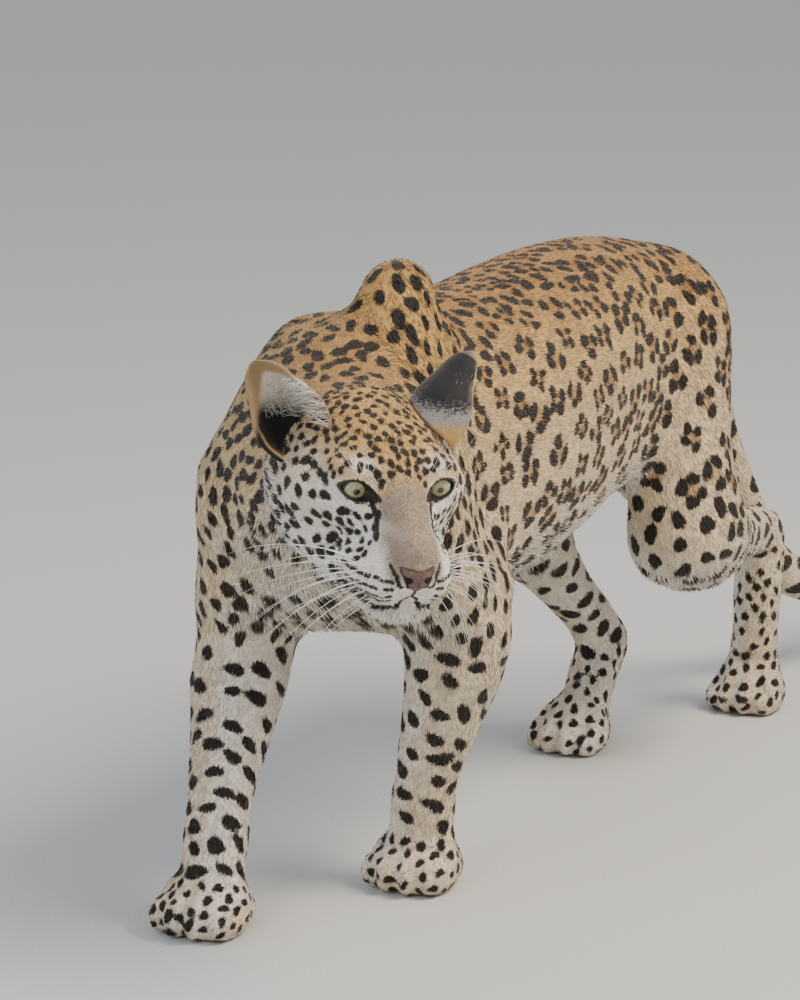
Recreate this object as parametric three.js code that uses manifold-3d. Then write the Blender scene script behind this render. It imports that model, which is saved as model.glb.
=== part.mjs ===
// A walking leopard, life size, as a museum shows it: head low and turned to its left, right forepaw just
// set down,
// left hind leg stretched out behind. Millimetres, +Z up. It faces -Y, and its left side is at +X.
// Each body part is one closed solid: rings of rays cast from an inner axis out to one smooth form, the
// blend of
// rounded muscles and bones below, so that neighbours share one surface and are parted only by thin
// straight cuts.
import * as THREE from "three";
import { mergeVertices } from "three/addons/utils/BufferGeometryUtils.js";
import Module from "manifold-3d";

const wasm = await Module();
wasm.setup();

// Driving sizes

const GAP = 0.3;
const EYE_SPACING = 77;
const EYE_RADIUS = 16.5;
const HEAD = { eyes: [177, -503, 443], turn: 48, nod: 11, lean: 3 };

// Joints of the skeleton in the walking pose
const JOINTS = {
  foreRight: { blade: [-46, -285, 500], shoulder: [-56, -372, 392], elbow: [-96, -322, 226],
      wrist: [-53, -440, 88],
    paw: [-43, -466, 0] },
  foreLeft: { blade: [44, -276, 566], shoulder: [76, -350, 408], elbow: [96, -246, 246],
      wrist: [60, -258, 88],
    paw: [54, -250, 0] },
  hindRight: { hip: [-50, 270, 448], knee: [-96, 160, 286], hock: [-46, 302, 107], paw: [-46, 246, 0] },
  hindLeft: { hip: [50, 270, 448], knee: [86, 228, 246], hock: [56, 468, 196], paw: [42, 484, 0] },
};

// Trunk stations from chest to rump: along the body, height of back and belly, half width
const TRUNK = [
  { at: -440, back: 440, belly: 372, half: 26 },
  { at: -405, back: 488, belly: 312, half: 62 },
  { at: -350, back: 524, belly: 268, half: 84 },
  { at: -270, back: 543, belly: 246, half: 98 },
  { at: -180, back: 541, belly: 243, half: 110 },
  { at: -60, back: 543, belly: 252, half: 118 },
  { at: 60, back: 554, belly: 272, half: 110 },
  { at: 160, back: 555, belly: 300, half: 96 },
  { at: 235, back: 545, belly: 322, half: 82 },
  { at: 300, back: 520, belly: 350, half: 62 },
  { at: 345, back: 488, belly: 386, half: 42 },
  { at: 374, back: 458, belly: 410, half: 20 },
];

// Small vector sums on [x, y, z]
const add = (a, b) => [a[0] + b[0], a[1] + b[1], a[2] + b[2]];
const sub = (a, b) => [a[0] - b[0], a[1] - b[1], a[2] - b[2]];
const times = (a, k) => [a[0] * k, a[1] * k, a[2] * k];
const dot = (a, b) => a[0] * b[0] + a[1] * b[1] + a[2] * b[2];
const size = (a) => Math.hypot(a[0], a[1], a[2]);
const unit = (a) => times(a, 1 / size(a));
const cross = (a, b) => [a[1] * b[2] - a[2] * b[1], a[2] * b[0] - a[0] * b[2], a[0] * b[1] - a[1] * b[0]];
const between = (a, b, t) => add(times(a, 1 - t), times(b, t));
const radians = THREE.MathUtils.degToRad;

// Distance fields: negative inside

const rod = (a, b, ra, rb) => (p) => {
  const along = sub(b, a);
  const t = Math.min(1, Math.max(0, dot(sub(p, a), along) / dot(along, along)));
  return size(sub(p, add(a, times(along, t)))) - (ra + (rb - ra) * t);
};

const egg = (centre, radii, axes) => (p) => {
  let q = sub(p, centre);
  if (axes) q = axes.map((axis) => dot(q, axis));
  const near = Math.hypot(q[0] / radii[0], q[1] / radii[1], q[2] / radii[2]);
  const far = Math.hypot(q[0] / radii[0] ** 2, q[1] / radii[1] ** 2, q[2] / radii[2] ** 2);
  return far < 1e-9 ? -Math.min(...radii) : (near * (near - 1)) / far;
};

function melt(a, b, reach) {
  const h = Math.max(reach - Math.abs(a - b), 0) / reach;
  return Math.min(a, b) - (h * h * reach) / 4;
}

const blend = (reach, fields) => (p) => fields.reduce((d, field) => melt(d, field(p), reach), 1e3);

function station(y) {
  const last = TRUNK.length - 1;
  let i = 0;
  while (i < last - 1 && y > TRUNK[i + 1].at) i += 1;
  const [a, b] = [TRUNK[i], TRUNK[i + 1]];
  const [before, after] = [TRUNK[Math.max(i - 1, 0)], TRUNK[Math.min(i + 2, last)]];
  const step = b.at - a.at;
  const t = Math.min(1, Math.max(0, (y - a.at) / step));
  const curve = (key) => {
    const slopeA = ((b[key] - before[key]) / (b.at - before.at)) * step;
    const slopeB = ((after[key] - a[key]) / (after.at - a.at)) * step;
    return (2 * t ** 3 - 3 * t ** 2 + 1) * a[key] + (t ** 3 - 2 * t ** 2 + t) * slopeA
      + (3 * t ** 2 - 2 * t ** 3) * b[key] + (t ** 3 - t ** 2) * slopeB;
  };
  return { back: curve("back"), belly: curve("belly"), half: Math.max(8, curve("half")),
      past: Math.max(a.at - y, y - b.at, 0) };
}

// The barrel is fuller above its middle than below, as ribs are
function trunk(p) {
  const s = station(p[1]);
  const centre = s.belly + (s.back - s.belly) * 0.54;
  const high = p[2] > centre ? s.back - centre : centre - s.belly;
  const ratio = ((Math.abs(p[0]) / s.half) ** 2.25 + (Math.abs(p[2] -
      centre) / high) ** 2.25) ** (1 / 2.25);
  return (ratio - 1) * Math.min(s.half, high) + s.past;
}

function paw(centre, heading, width) {
  const ahead = [Math.sin(radians(heading)), -Math.cos(radians(heading)), 0];
  const side = [-ahead[1], ahead[0], 0];
  const frame = [side, ahead, [0, 0, 1]];
  const at = (x, y, z) => add(centre, add(times(side, x * width), add(times(ahead, y * width), [0, 0, z *
      width])));
  const toe = (x, y, tall) => blend(0.05 * width, [
    egg(at(x, y, 0.2 * tall), [0.145 * width, 0.26 * width, 0.235 * width * tall], frame),
    egg(at(x, y - 0.2, 0.28 * tall), [0.14 * width, 0.2 * width, 0.26 * width * tall], frame),
  ]);
  const toes = blend(0.045 * width, [toe(-0.37, 0.3, 0.94), toe(-0.125, 0.42, 1.05), toe(0.125, 0.42,
      1.05), toe(0.37, 0.3, 0.94)]);
  const sole = egg(at(0, -0.04, 0.2), [0.44 * width, 0.5 * width, 0.3 * width], frame);
  return blend(0.12 * width, [sole, toes]);
}

// A chain of rounded cones along a smooth curve through points [place, radius]
function chain(points, steps = 4) {
  const curve = new THREE.CatmullRomCurve3(points.map(([at]) => new THREE.Vector3(...at)), false,
      "centripetal");
  const radii = new THREE.CatmullRomCurve3(points.map(([, r], i) => new THREE.Vector3(i * 50, r, 0)));
  const count = (points.length - 1) * steps;
  const knots = Array.from({ length: count + 1 }, (_, i) =>
      [curve.getPoint(i / count).toArray(), radii.getPoint(i / count).y]);
  const parts = knots.slice(1).map(([b, rb], i) => rod(knots[i][0], b, knots[i][1], rb));
  return (p) => parts.reduce((d, part) => Math.min(d, part(p)), 1e3);
}

function foreleg(j) {
  const out = Math.sign(j.elbow[0]);
  const arm = (t) => between(j.elbow, j.wrist, t);
  return {
    shoulder: blend(34, [
      egg(add(j.blade, [0, 2, 2]), [22, 44, 26]),
      rod(j.blade, j.shoulder, 28, 42),
      rod(add(j.blade, [out * 4, -16, -44]), j.shoulder, 26, 40),
      rod(add(j.blade, [out * 8, 34, -50]), between(j.shoulder, j.elbow, 0.6), 27, 42),
      chain([[j.shoulder, 42], [between(j.shoulder, j.elbow, 0.5), 44], [j.elbow, 40], [arm(0.2), 41]]),
      rod(add(j.elbow, [0, 40, 62]), add(j.elbow, [0, 14, 4]), 36, 29),
    ]),
    lower: blend(24, [
      chain([[j.elbow, 38], [arm(0.2), 41], [arm(0.45), 38.5], [arm(0.7), 33.5], [arm(0.9), 31],
          [j.wrist, 31.5],
        [add(j.paw, [0, 2, 42]), 30]]),
      chain([[add(j.elbow, [0, 26, 8]), 25], [add(arm(0.25), [0, 10, 0]), 29], [arm(0.55), 28]]),
      egg(add(j.wrist, [0, 12, -16]), [20, 17, 18]),
    ]),
    paw: paw(j.paw, 0, 88),
  };
}

function hindleg(j) {
  const out = Math.sign(j.hip[0]);
  const shank = (t) => between(j.knee, j.hock, t);
  const foot = (t) => between(j.hock, j.paw, t);
  const heel = add(j.hock, times(unit(sub(j.hock, between(j.knee, j.paw, 0.5))), 15));
  return {
    thigh: blend(44, [
      egg(add(j.hip, [out * -6, -6, -8]), [46, 72, 86]),
      rod(j.hip, j.knee, 56, 46),
      rod([out * 34, 322, 424], shank(0.16), 38, 38),
      rod(add(j.hip, [0, -66, 0]), add(j.knee, [0, -6, 24]), 42, 41),
      rod(j.knee, shank(0.2), 45, 44),
    ]),
    lower: blend(20, [
      chain([[j.knee, 45], [shank(0.25), 43], [shank(0.5), 35], [shank(0.75), 27], [j.hock, 25],
          [foot(0.3), 24],
        [foot(0.6), 25], [add(j.paw, [0, 0, 36]), 28]]),
      chain([[shank(0.4), 24], [shank(0.75), 15], [heel, 17], [foot(0.35), 17]]),
    ]),
    paw: paw(j.paw, 0, 80),
  };
}

const limbs = {
  foreRight: foreleg(JOINTS.foreRight),
  foreLeft: foreleg(JOINTS.foreLeft),
  hindRight: hindleg(JOINTS.hindRight),
  hindLeft: hindleg(JOINTS.hindLeft),
};

// The head has its own frame: origin midway between the eyes, x to its left, y ahead, z up
const headAxes = (() => {
  const [turn, nod, lean] = [HEAD.turn, HEAD.nod, HEAD.lean].map(radians);
  const ahead = [Math.sin(turn) * Math.cos(nod), -Math.cos(turn) * Math.cos(nod), -Math.sin(nod)];
  const level = [Math.cos(turn), Math.sin(turn), 0];
  const upright = cross(ahead, level);
  const left = sub(times(level, Math.cos(lean)), times(upright, Math.sin(lean)));
  return { left, ahead, up: cross(ahead, left) };
})();
const onHead = (x, y, z) => add(HEAD.eyes, add(times(headAxes.left, x), add(times(headAxes.ahead, y),
    times(headAxes.up, z))));
const inHead = (p) => {
  const q = sub(p, HEAD.eyes);
  return [dot(q, headAxes.left), dot(q, headAxes.ahead), dot(q, headAxes.up)];
};

// Each mass of the head: how far it melts into the rest, and its form on the left half
const HEAD_MASSES = [
  [22, egg([0, -66, 4], [58, 70, 44])],
  [26, egg([0, -98, -10], [60, 52, 54])],
  [26, egg([34, -86, -30], [50, 54, 47])],
  [18, chain([[[44, -70, -62], 30], [[34, -20, -80], 19], [[14, 38, -88], 15]])],
  [20, rod([0, -30, -16], [0, 30, -40], 44, 29)],
  [14, egg([0, 38, -52], [32, 42, 28])],
  [8, chain([[[18, 53, -62], 20.5], [[28, 28, -64], 20], [[34, 6, -62], 17]])],
  [14, chain([[[0, -6, 8], 19], [[0, 30, -12], 16], [[0, 60, -34], 14]])],
  [20, egg([20, -22, -6], [38, 28, 27])],
  [14, egg([34, -18, 15], [22, 18, 10])],
  [8, egg([0, 42, -90], [20, 21, 14])],
  [16, rod([32, -12, -28], [60, -54, -22], 15, 22)],
  [24, rod([0, -6, -60], [0, -90, -58], 28, 46)],
  [7, egg([EYE_SPACING / 2, -12, 0], [EYE_RADIUS + 3, EYE_RADIUS + 2.4, EYE_RADIUS + 2])],
];

function headForm(p) {
  const q = inHead(p);
  const half = [Math.abs(q[0]), q[1], q[2]];
  return HEAD_MASSES.reduce((d, [reach, field]) => melt(d, field(half), reach), 1e3);
}

// Neck stations: centre, radius upwards and sideways
const NECK = [
  { at: [4, -310, 440], tall: 100, wide: 84 },
  { at: [30, -366, 436], tall: 90, wide: 79 },
  { at: [66, -410, 434], tall: 80, wide: 74 },
  { at: [98, -438, 434], tall: 72, wide: 70 },
];
const neck = blend(36, NECK.slice(1).map((b, i) => {
  const a = NECK[i];
  const way = unit(sub(b.at, a.at));
  const side = unit(cross([0, 0, 1], way));
  return egg(between(a.at, b.at, 0.5), [(a.wide + b.wide) / 2, 76, (a.tall + b.tall) / 2],
      [side, way, cross(side, way)]);
}));

// The tail hangs behind the left thigh, passes behind the hock and lifts again at its tip
const TAIL = [
  [[0, 330, 478], 38], [[0, 392, 446], 31], [[0, 436, 386], 27], [[0, 470, 304], 25], [[6, 520, 220], 25],
  [[14, 578, 140], 25.5], [[28, 646, 104], 26], [[46, 712, 104], 26], [[60, 768, 130], 24],
      [[68, 802, 172], 17],
];
const tail = chain(TAIL);

// One form for the whole body, with wider blends where limbs leave the trunk
const axial = (p) => melt(melt(melt(trunk(p), neck(p), 46), tail(p), 24), headForm(p), 26);
const legs = Object.fromEntries(Object.entries(limbs).map(([name, limb]) => {
  const upper = limb.shoulder ?? limb.thigh;
  return [name, (p) => melt(melt(limb.lower(p), limb.paw(p), 16), upper(p), 24)];
}));

function body(p) {
  const whole = Object.values(legs).reduce((d, leg) => melt(d, leg(p), 34), axial(p));
  return Math.max(whole, -p[2]);
}

// Meshing: rings of rays, cast from an axis until they leave a form

function castRay(field, from, way, reach = 400) {
  let inside = 0;
  let t = 0;
  let d = field(from);
  if (d >= 0) return 0.4;
  while (d < 0 && t < reach) {
    inside = t;
    t += Math.max(0.8, -0.8 * d);
    d = field(add(from, times(way, t)));
  }
  let outside = t;
  for (let i = 0; i < 14; i += 1) {
    const middle = (inside + outside) / 2;
    if (field(add(from, times(way, middle))) < 0) inside = middle;
    else outside = middle;
  }
  return (inside + outside) / 2;
}

// An axis through stations [centre, normal of its ring], smooth in between
function axis(stations) {
  const centres = new THREE.CatmullRomCurve3(stations.map(([at]) => new THREE.Vector3(...at)), false,
      "centripetal");
  const normals = new THREE.CatmullRomCurve3(stations.map(([, normal]) =>
      new THREE.Vector3(...unit(normal))));
  return (t) => ({ at: centres.getPoint(t).toArray(), way: unit(normals.getPoint(t).toArray()) });
}

function closedGeometry(points, faces) {
  const geometry = new THREE.BufferGeometry();
  geometry.setAttribute("position", new THREE.Float32BufferAttribute(points.flat(), 3));
  geometry.setIndex(faces.flat());
  return geometry;
}

// Joins rings of equally many points into a closed surface. Each end has a centre point or, where none is
// given, as on
// a ring that runs out and back along a band, is closed across that band
function skinOver(ringList, first, last) {
  const n = ringList[0].length;
  const points = first ? [...ringList.flat(), first, last] : ringList.flat();
  const faces = [];
  const final = (ringList.length - 1) * n;
  for (let i = 0; !first && i < n / 2 - 1; i += 1) {
    const [a, b, c, d] = [i, i + 1, n - 2 - i, n - 1 - i];
    faces.push([a, b, c], [a, c, d], [final + a, final + c, final + b], [final + a, final + d, final + c]);
  }
  for (let i = 0; i < n; i += 1) {
    const next = (i + 1) % n;
    for (let k = 0; k < ringList.length - 1; k += 1) {
      const [a, b] = [k * n, (k + 1) * n];
      if ((k + i) % 2) faces.push([a + i, b + i, b + next], [a + i, b + next, a + next]);
      else faces.push([a + i, b + i, a + next], [a + next, b + i, b + next]);
    }
    if (first) faces.push([points.length - 2, i, next], [points.length - 1, final + next, final + i]);
  }
  return closedGeometry(points, faces);
}

// spokes: rays in a ring; domes: rings in the round end before the first or after the last ring, 0 for a
// flat cut
function loft({ field, path, span = [0, 1], rings, spokes, level = [0, 0, 1], domes = [0, 0],
    slack = GAP / 2 }) {
  const ring = (t, tilt, shift) => {
    const { at, way } = path(t);
    const from = add(at, times(way, shift));
    const side = unit(cross(way, level));
    const upright = cross(side, way);
    return Array.from({ length: spokes }, (_, i) => {
      const turn = (i / spokes) * 2 * Math.PI;
      const out = add(times(side, Math.cos(turn) * Math.cos(tilt)),
          times(upright, Math.sin(turn) * Math.cos(tilt)));
      const ray = add(out, times(way, Math.sin(tilt)));
      return add(from, times(ray, castRay(field, from, ray)));
    });
  };
  const pole = (t, sign, shift, dome) => {
    const { at, way } = path(t);
    const from = add(at, times(way, shift));
    return dome ? add(from, times(way, sign * castRay(field, from, times(way, sign)))) : from;
  };
  const all = [];
  for (let k = domes[0]; k > 0; k -= 1) all.push(ring(span[0], (-k / (domes[0] + 1)) * (Math.PI / 2), 0));
  for (let k = 0; k <= rings; k += 1) {
    const t = span[0] + ((span[1] - span[0]) * k) / rings;
    const shift = (k === 0 && !domes[0] ? slack : 0) - (k === rings && !domes[1] ? slack : 0);
    all.push(ring(t, 0, shift));
  }
  for (let k = 1; k <= domes[1]; k += 1) all.push(ring(span[1], (k / (domes[1] + 1)) * (Math.PI / 2), 0));
  const ends = [pole(span[0], -1, domes[0] ? 0 : slack, domes[0]),
      pole(span[1], 1, domes[1] ? 0 : -slack, domes[1])];
  return skinOver(all, ...ends);
}

function toSolid(geometry) {
  const shared = geometry.clone();
  shared.deleteAttribute("normal");
  shared.deleteAttribute("uv");
  const merged = mergeVertices(shared, 1e-4);
  return new wasm.Manifold(new wasm.Mesh({
    numProp: 3,
    vertProperties: new Float32Array(merged.attributes.position.array),
    triVerts: new Uint32Array(merged.index.array),
  }));
}

function largest(solid) {
  return solid.decompose().reduce((a, b) => (a.volume() > b.volume() ? a : b));
}

function surfaceOf(solid) {
  const mesh = largest(solid).getMesh();
  const geometry = new THREE.BufferGeometry();
  geometry.setAttribute("position", new THREE.Float32BufferAttribute(mesh.vertProperties, 3));
  geometry.setIndex(Array.from(mesh.triVerts));
  return geometry;
}

// Twice round, so that a sliver left hanging by a hair's width goes too
const toGeometry = (solid) => surfaceOf(toSolid(mergeVertices(surfaceOf(solid), 2e-3)));

// Axes of the parts; neighbours share the ring between them
const NECK_BASE = [[10, -366, 440], [0.35, -0.8, 0.5]];
const HEAD_BASE = [onHead(0, -116, -28), headAxes.ahead];
const TAIL_BASE = [[0, 362, 462], [0, 0.9, -0.44]];
const trunkAxis = axis([[[0, 330, 462], [0, -0.92, 0.4]], [[0, 225, 440], [0, -1, 0.08]],
    [[0, 60, 415], [0, -1, 0]],
  [[0, -120, 400], [0, -1, 0]], [[2, -260, 412], [0.04, -0.97, 0.22]], NECK_BASE]);
const neckAxis = axis([NECK_BASE, [[44, -398, 437], [0.52, -0.8, 0.22]], HEAD_BASE]);
const headAxis = axis([HEAD_BASE, [onHead(0, -60, -28), headAxes.ahead],
    [onHead(0, 0, -36), headAxes.ahead],
  [onHead(0, 42, -55), headAxes.ahead]]);
const tailAxis = (() => {
  const places = TAIL.slice(1).map(([at]) => at);
  places.splice(0, 1, TAIL_BASE[0], places[0]);
  return axis(places.map((at, i) => [at, i ? sub(places[Math.min(i + 1, places.length - 1)], places[i -
      1]) : TAIL_BASE[1]]));
})();

const nearAxis = (p) => Math.max(body(p), axial(p) - 20);
const nearTail = (extra = 0, rise = 0) => (p) => Math.max(body(p) - rise, tail(p) - 5 - extra);
// A leg stays clear of the core of the trunk, half a core to each side of the midline
const CORE = { half: 32, floor: 250, roof: [500, 535] };
const nearLeg = (name, extra = 0, rise = 0) => (p) => {
  const half = CORE.half * (1 - THREE.MathUtils.smoothstep(p[2], ...CORE.roof)) + 3;
  const beside = p[2] > CORE.floor ? half - extra - Math.sign(JOINTS[name].paw[0]) * p[0] : -1e3;
  return Math.max(body(p) - rise, legs[name](p) - 11 - extra, beside);
};

// The trunk, the neck and the tail
const AXIAL_PARTS = {
  torso_rump: { path: trunkAxis, span: [0, 0.34], rings: 5, spokes: 32, domes: [3, 0] },
  torso_belly: { path: trunkAxis, span: [0.34, 0.7], rings: 7, spokes: 32 },
  torso_chest: { path: trunkAxis, span: [0.7, 1], rings: 6, spokes: 36 },
  neck: { path: neckAxis, rings: 6, spokes: 36 },
};
const TAIL_PARTS = {
  tail_1: { span: [0, 0.25], rings: 5, domes: [2, 0] },
  tail_2: { span: [0.25, 0.5], rings: 5 },
  tail_3: { span: [0.5, 0.75], rings: 5 },
  tail_4: { span: [0.75, 0.98], rings: 4, domes: [0, 3] },
};

const solids = {};
for (const [name, spec] of Object.entries(AXIAL_PARTS)) {
  solids[name] = toSolid(loft({ field: nearAxis, ...spec }));
}
const tailRing = { path: tailAxis, spokes: 14, level: [1, 0, 0] };
for (const [name, spec] of Object.entries(TAIL_PARTS)) {
  solids[name] = toSolid(loft({ field: nearTail(), ...tailRing, ...spec }));
}
const tailHollow = toSolid(loft({ field: nearTail(2 * GAP, 9), ...tailRing, ...TAIL_PARTS.tail_1,
    slack: 0 })).add(solids.tail_1);
solids.torso_rump = largest(solids.torso_rump.subtract(tailHollow));

// The legs: an upper part set into the trunk, a lower part, and a paw around its own centre
function legAxis(name) {
  const j = JOINTS[name];
  if (j.blade) {
    const bend = between(between(j.blade, j.elbow, 0.5), j.shoulder, 0.35);
    return axis([[add(j.blade, [0, 0, -24]), [0, -0.35, -1]], [bend, [0, 0, -1]],
        [j.elbow, between(unit(sub(j.wrist, j.elbow)), [0, 0, -1], 0.5)],
      [between(j.elbow, j.wrist, 0.5), sub(j.wrist, j.elbow)], [j.wrist, sub(j.paw, j.elbow)],
          [add(j.paw, [0, 4, 52]), [0, 0, -1]]]);
  }
  const flex = unit(sub(unit(sub(j.hock, j.knee)), unit(sub(j.hip, j.knee))));
  const thighWay = unit(sub(j.knee, j.hip));
  return axis([[add(j.hip, [0, 6, 0]), between(thighWay, flex, 0.5)],
      [between(j.hip, j.knee, 0.55), between(thighWay, flex, 0.7)],
    [add(j.knee, [0, 14, 4]), flex], [between(j.knee, j.hock, 0.5), sub(j.hock, j.knee)],
        [add(j.hock, [0, -2, -2]), sub(j.paw, j.knee)],
    [add(between(j.hock, j.paw, 0.6), [0, 0, 8]), add(sub(j.paw, j.hock), [0, 0, -40])]]);
}

for (const name of Object.keys(legs)) {
  const fore = Boolean(JOINTS[name].blade);
  const side = name.endsWith("Left") ? "left" : "right";
  const path = legAxis(name);
  const level = [1, 0, 0];
  const span = fore ? [[0, 0.4], [0.4, 1]] : [[0, 0.4], [0.4, 0.8], [0.8, 1]];
  const sections = fore ? ["upper_arm", "forearm"] : ["thigh", "shank", "metatarsus"];
  const counts = fore ? [[6, 24], [7, 18]] : [[6, 26], [6, 18], [3, 16]];
  sections.forEach((part, i) => {
    const [rings, spokes] = counts[i];
    const spec = { path, span: span[i], rings, spokes, level, domes: [i ? 0 : 3, 0] };
    const piece = toSolid(loft({ field: nearLeg(name), ...spec }));
    solids[`${part}_${side}`] = piece;
    if (i > 1) return;
    // The trunk's hollow for this part is cast along the same rays, a little wider and out through its skin
    const hollow = toSolid(loft({ field: nearLeg(name, 2 * GAP, 12), ...spec, slack: 0 })).add(piece);
    for (const trunkPart of Object.keys(AXIAL_PARTS)) {
      solids[trunkPart] = largest(solids[trunkPart].subtract(hollow));
    }
  });
  const ankle = path(1);
  const foot = axis([[ankle.at, ankle.way], [add(JOINTS[name].paw, [0, -2, 30]), [0, 0, -1]]]);
  const last = fore ? "forepaw" : "hindpaw";
  solids[`${last}_${side}`] = toSolid(loft({ field: nearLeg(name), path: foot, rings: 2, spokes: 28, level,
      domes: [0, 7] }));
}

// The head, with its own finer rings
solids.head = toSolid(loft({ field: nearAxis, path: headAxis, rings: 20, spokes: 46, domes: [0, 6] }));
const grownHead = toSolid(loft({
  field: (p) => nearAxis(p) - GAP, path: headAxis, rings: 20, spokes: 46, domes: [0, 6], slack: 0,
}));

// Places a geometry made at the origin: its x, y, z along three directions
function placed(geometry, origin, [x, y, z]) {
  const matrix = new THREE.Matrix4().makeBasis(...[x, y, z].map((way) => new THREE.Vector3(...way)));
  matrix.setPosition(...origin);
  return geometry.clone().applyMatrix4(matrix);
}
const headWay = (x, y, z) => unit(sub(onHead(x, y, z), HEAD.eyes));

// Point where the face's surface lies beyond an inner point, in head coordinates
function onFace(from, toward, sink = 0) {
  const start = onHead(...from);
  const way = headWay(...sub(toward, from));
  return add(start, times(way, castRay(headForm, start, way) - sink));
}

// Closed outline from [x, y] corners, drawn as a smooth curve
function outline(corners, points = 14) {
  const curve = new THREE.CatmullRomCurve3(corners.map(([x, y]) => new THREE.Vector3(x, y, 0)), true,
      "centripetal");
  return new THREE.Shape(curve.getPoints(points).slice(0, -1).map(({ x, y }) => new THREE.Vector2(x, y)));
}

// A furrow or bore along a smooth line of points, thinner at both ends
function tube(points, radius) {
  const line = new THREE.CatmullRomCurve3(points.map((at) => new THREE.Vector3(...at)));
  const count = points.length * 2;
  const rings = Array.from({ length: count + 1 }, (_, k) => {
    const at = line.getPoint(k / count).toArray();
    const way = line.getTangent(k / count).toArray();
    const side = unit(cross(way, Math.abs(way[2]) > 0.9 ? [1, 0, 0] : [0, 0, 1]));
    const upright = cross(side, way);
    const r = radius * Math.sqrt(Math.max(0.16, Math.sin((k / count) * Math.PI)));
    return Array.from({ length: 5 }, (_, i) => {
      const turn = (i / 5) * 2 * Math.PI;
      return add(at, add(times(side, r * Math.cos(turn)), times(upright, r * Math.sin(turn))));
    });
  });
  return toSolid(skinOver(rings, line.getPoint(0).toArray(), line.getPoint(1).toArray()));
}

// Eyes: balls set back in the head behind an almond opening that slants down to the nose
for (const side of [1, -1]) {
  const name = side > 0 ? "left" : "right";
  const centre = onHead((side * EYE_SPACING) / 2 - side * 0.5, -12.5, 0);
  const gaze = headWay(side * 0.16, 1, -0.02);
  const across = unit(cross(headWay(0, 0, 1), gaze));
  const basis = [across, cross(gaze, across), gaze];
  solids[`eye_${name}`] = toSolid(placed(new THREE.SphereGeometry(EYE_RADIUS, 16, 10), centre, basis));
  const socket = toSolid(placed(new THREE.SphereGeometry(EYE_RADIUS + GAP, 16, 10), centre, basis));
  const inner = -side * Math.sign(dot(across, headAxes.left));
  const almond = outline([[inner * 17.5, -7], [inner * 9, 5], [0, 8.8], [inner * -9, 7.6],
      [inner * -15, 1.5],
    [inner * -8, -6.4], [0, -8.6], [inner * 9, -8.4]], 16);
  const opening = new THREE.ExtrudeGeometry(almond, { depth: 40, bevelEnabled: false });
  solids.head = solids.head.subtract(socket).subtract(toSolid(placed(opening, centre, basis)));
}

// Nose pad: the tip of the muzzle inside a rounded triangle, with two bored nostrils
const padWay = headWay(0, 1, -0.12);
const padAxes = [times(headAxes.left, -1), cross(padWay, times(headAxes.left, -1)), padWay];
const padCentre = onHead(0, 50, -47);
const padShape = (grow) => outline([[0, -13 - grow], [-8 - grow, -5], [-17.5 - grow, 3],
    [-15 - grow, 9 + grow], [0, 11 + grow],
  [15 + grow, 9 + grow], [17.5 + grow, 3], [8 + grow, -5]], 16);
const padPrism = (grow, depth) => toSolid(placed(new THREE.ExtrudeGeometry(padShape(grow), { depth,
    bevelEnabled: false }),
  add(padCentre, times(padWay, -grow)), padAxes));
const muzzle = toSolid(loft({
  field: (p) => headForm(p) - 1.6, path: headAxis, span: [0.85, 1], rings: 3, spokes: 30, domes: [0, 6],
      slack: 0,
}));
const nostrils = [1, -1].map((side) => tube([onHead(side * 6, 58, -54), onHead(side * 7.5, 68, -53),
    onHead(side * 9, 84, -51)], 4)
  .add(tube([onHead(side * 8, 70, -52), onHead(side * 14, 70, -55), onHead(side * 19, 64, -60)], 2.2)));
solids.nose = nostrils.reduce((nose, hole) => nose.subtract(hole), muzzle.intersect(padPrism(0, 60)));
solids.head = solids.head.subtract(padPrism(GAP, 60));

// Line of the mouth: a furrow from the split lip back to the corners, and the groove below the nose
const LIPS = [[0, 70, -78], [13, 66, -86], [26, 50, -90], [35, 28, -88], [41, 8, -83], [45, -10, -76]];
for (const side of [1, -1]) {
  const line = LIPS.map(([x, y, z]) => onFace([0, y - 24, -66], [side * (x + 0.01), y, z]));
  solids.head = solids.head.subtract(tube(line, 2.2));
}
solids.head = largest(solids.head.subtract(tube([onFace([0, 40, -58], [0, 70, -60]),
    onFace([0, 40, -62], [0, 70, -70]),
  onFace([0, 40, -64], [0, 70, -78])], 1.5)));

// Ears: cups with a rounded tip, open towards `open`; the right one listens ahead, the left one is turned
// back
const EARS = {
  ear_right: { base: [-74, -84, 31], tip: [-0.6, -0.1, 0.8], open: [-0.3, 0.93, 0.1] },
  ear_left: { base: [57, -84, 38], tip: [0.6, -0.42, 0.66], open: [0.88, -0.45, 0.1] },
};
const EAR = { length: 89, half: 35, thick: 4.2 };

function ear({ base, tip, open }) {
  const up = headWay(...tip);
  const out = unit(sub(headWay(...open), times(up, dot(headWay(...open), up))));
  const across = cross(up, out);
  const ringCount = 9;
  const steps = 10;
  const ringList = Array.from({ length: ringCount + 1 }, (_, k) => {
    const t = k / ringCount;
    const half = EAR.half * Math.sqrt(Math.max(0.02, 1 - t ** 3.2)) *
        (0.8 + 0.2 * Math.sin(Math.PI * Math.min(1, t * 1.6)));
    const wrap = THREE.MathUtils.lerp(1.95, 0.95, t ** 0.8);
    const radius = half / Math.sin(Math.min(wrap, Math.PI / 2));
    const thick = Math.min(EAR.thick, radius * 0.5);
    const height = EAR.length * (t - 0.26);
    const arc = (r, s) => add(onHead(...base), add(times(up, height),
      add(times(across, r * Math.sin(wrap * s)), times(out, -r * Math.cos(wrap * s) + radius * 0.35))));
    const outer = Array.from({ length: steps + 1 }, (_, i) => arc(radius, (i / steps) * 2 - 1));
    const inner = Array.from({ length: steps + 1 }, (_, i) => arc(radius - thick, 1 - (i / steps) * 2));
    return [...outer, ...inner];
  });
  return toSolid(skinOver(ringList));
}

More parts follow.
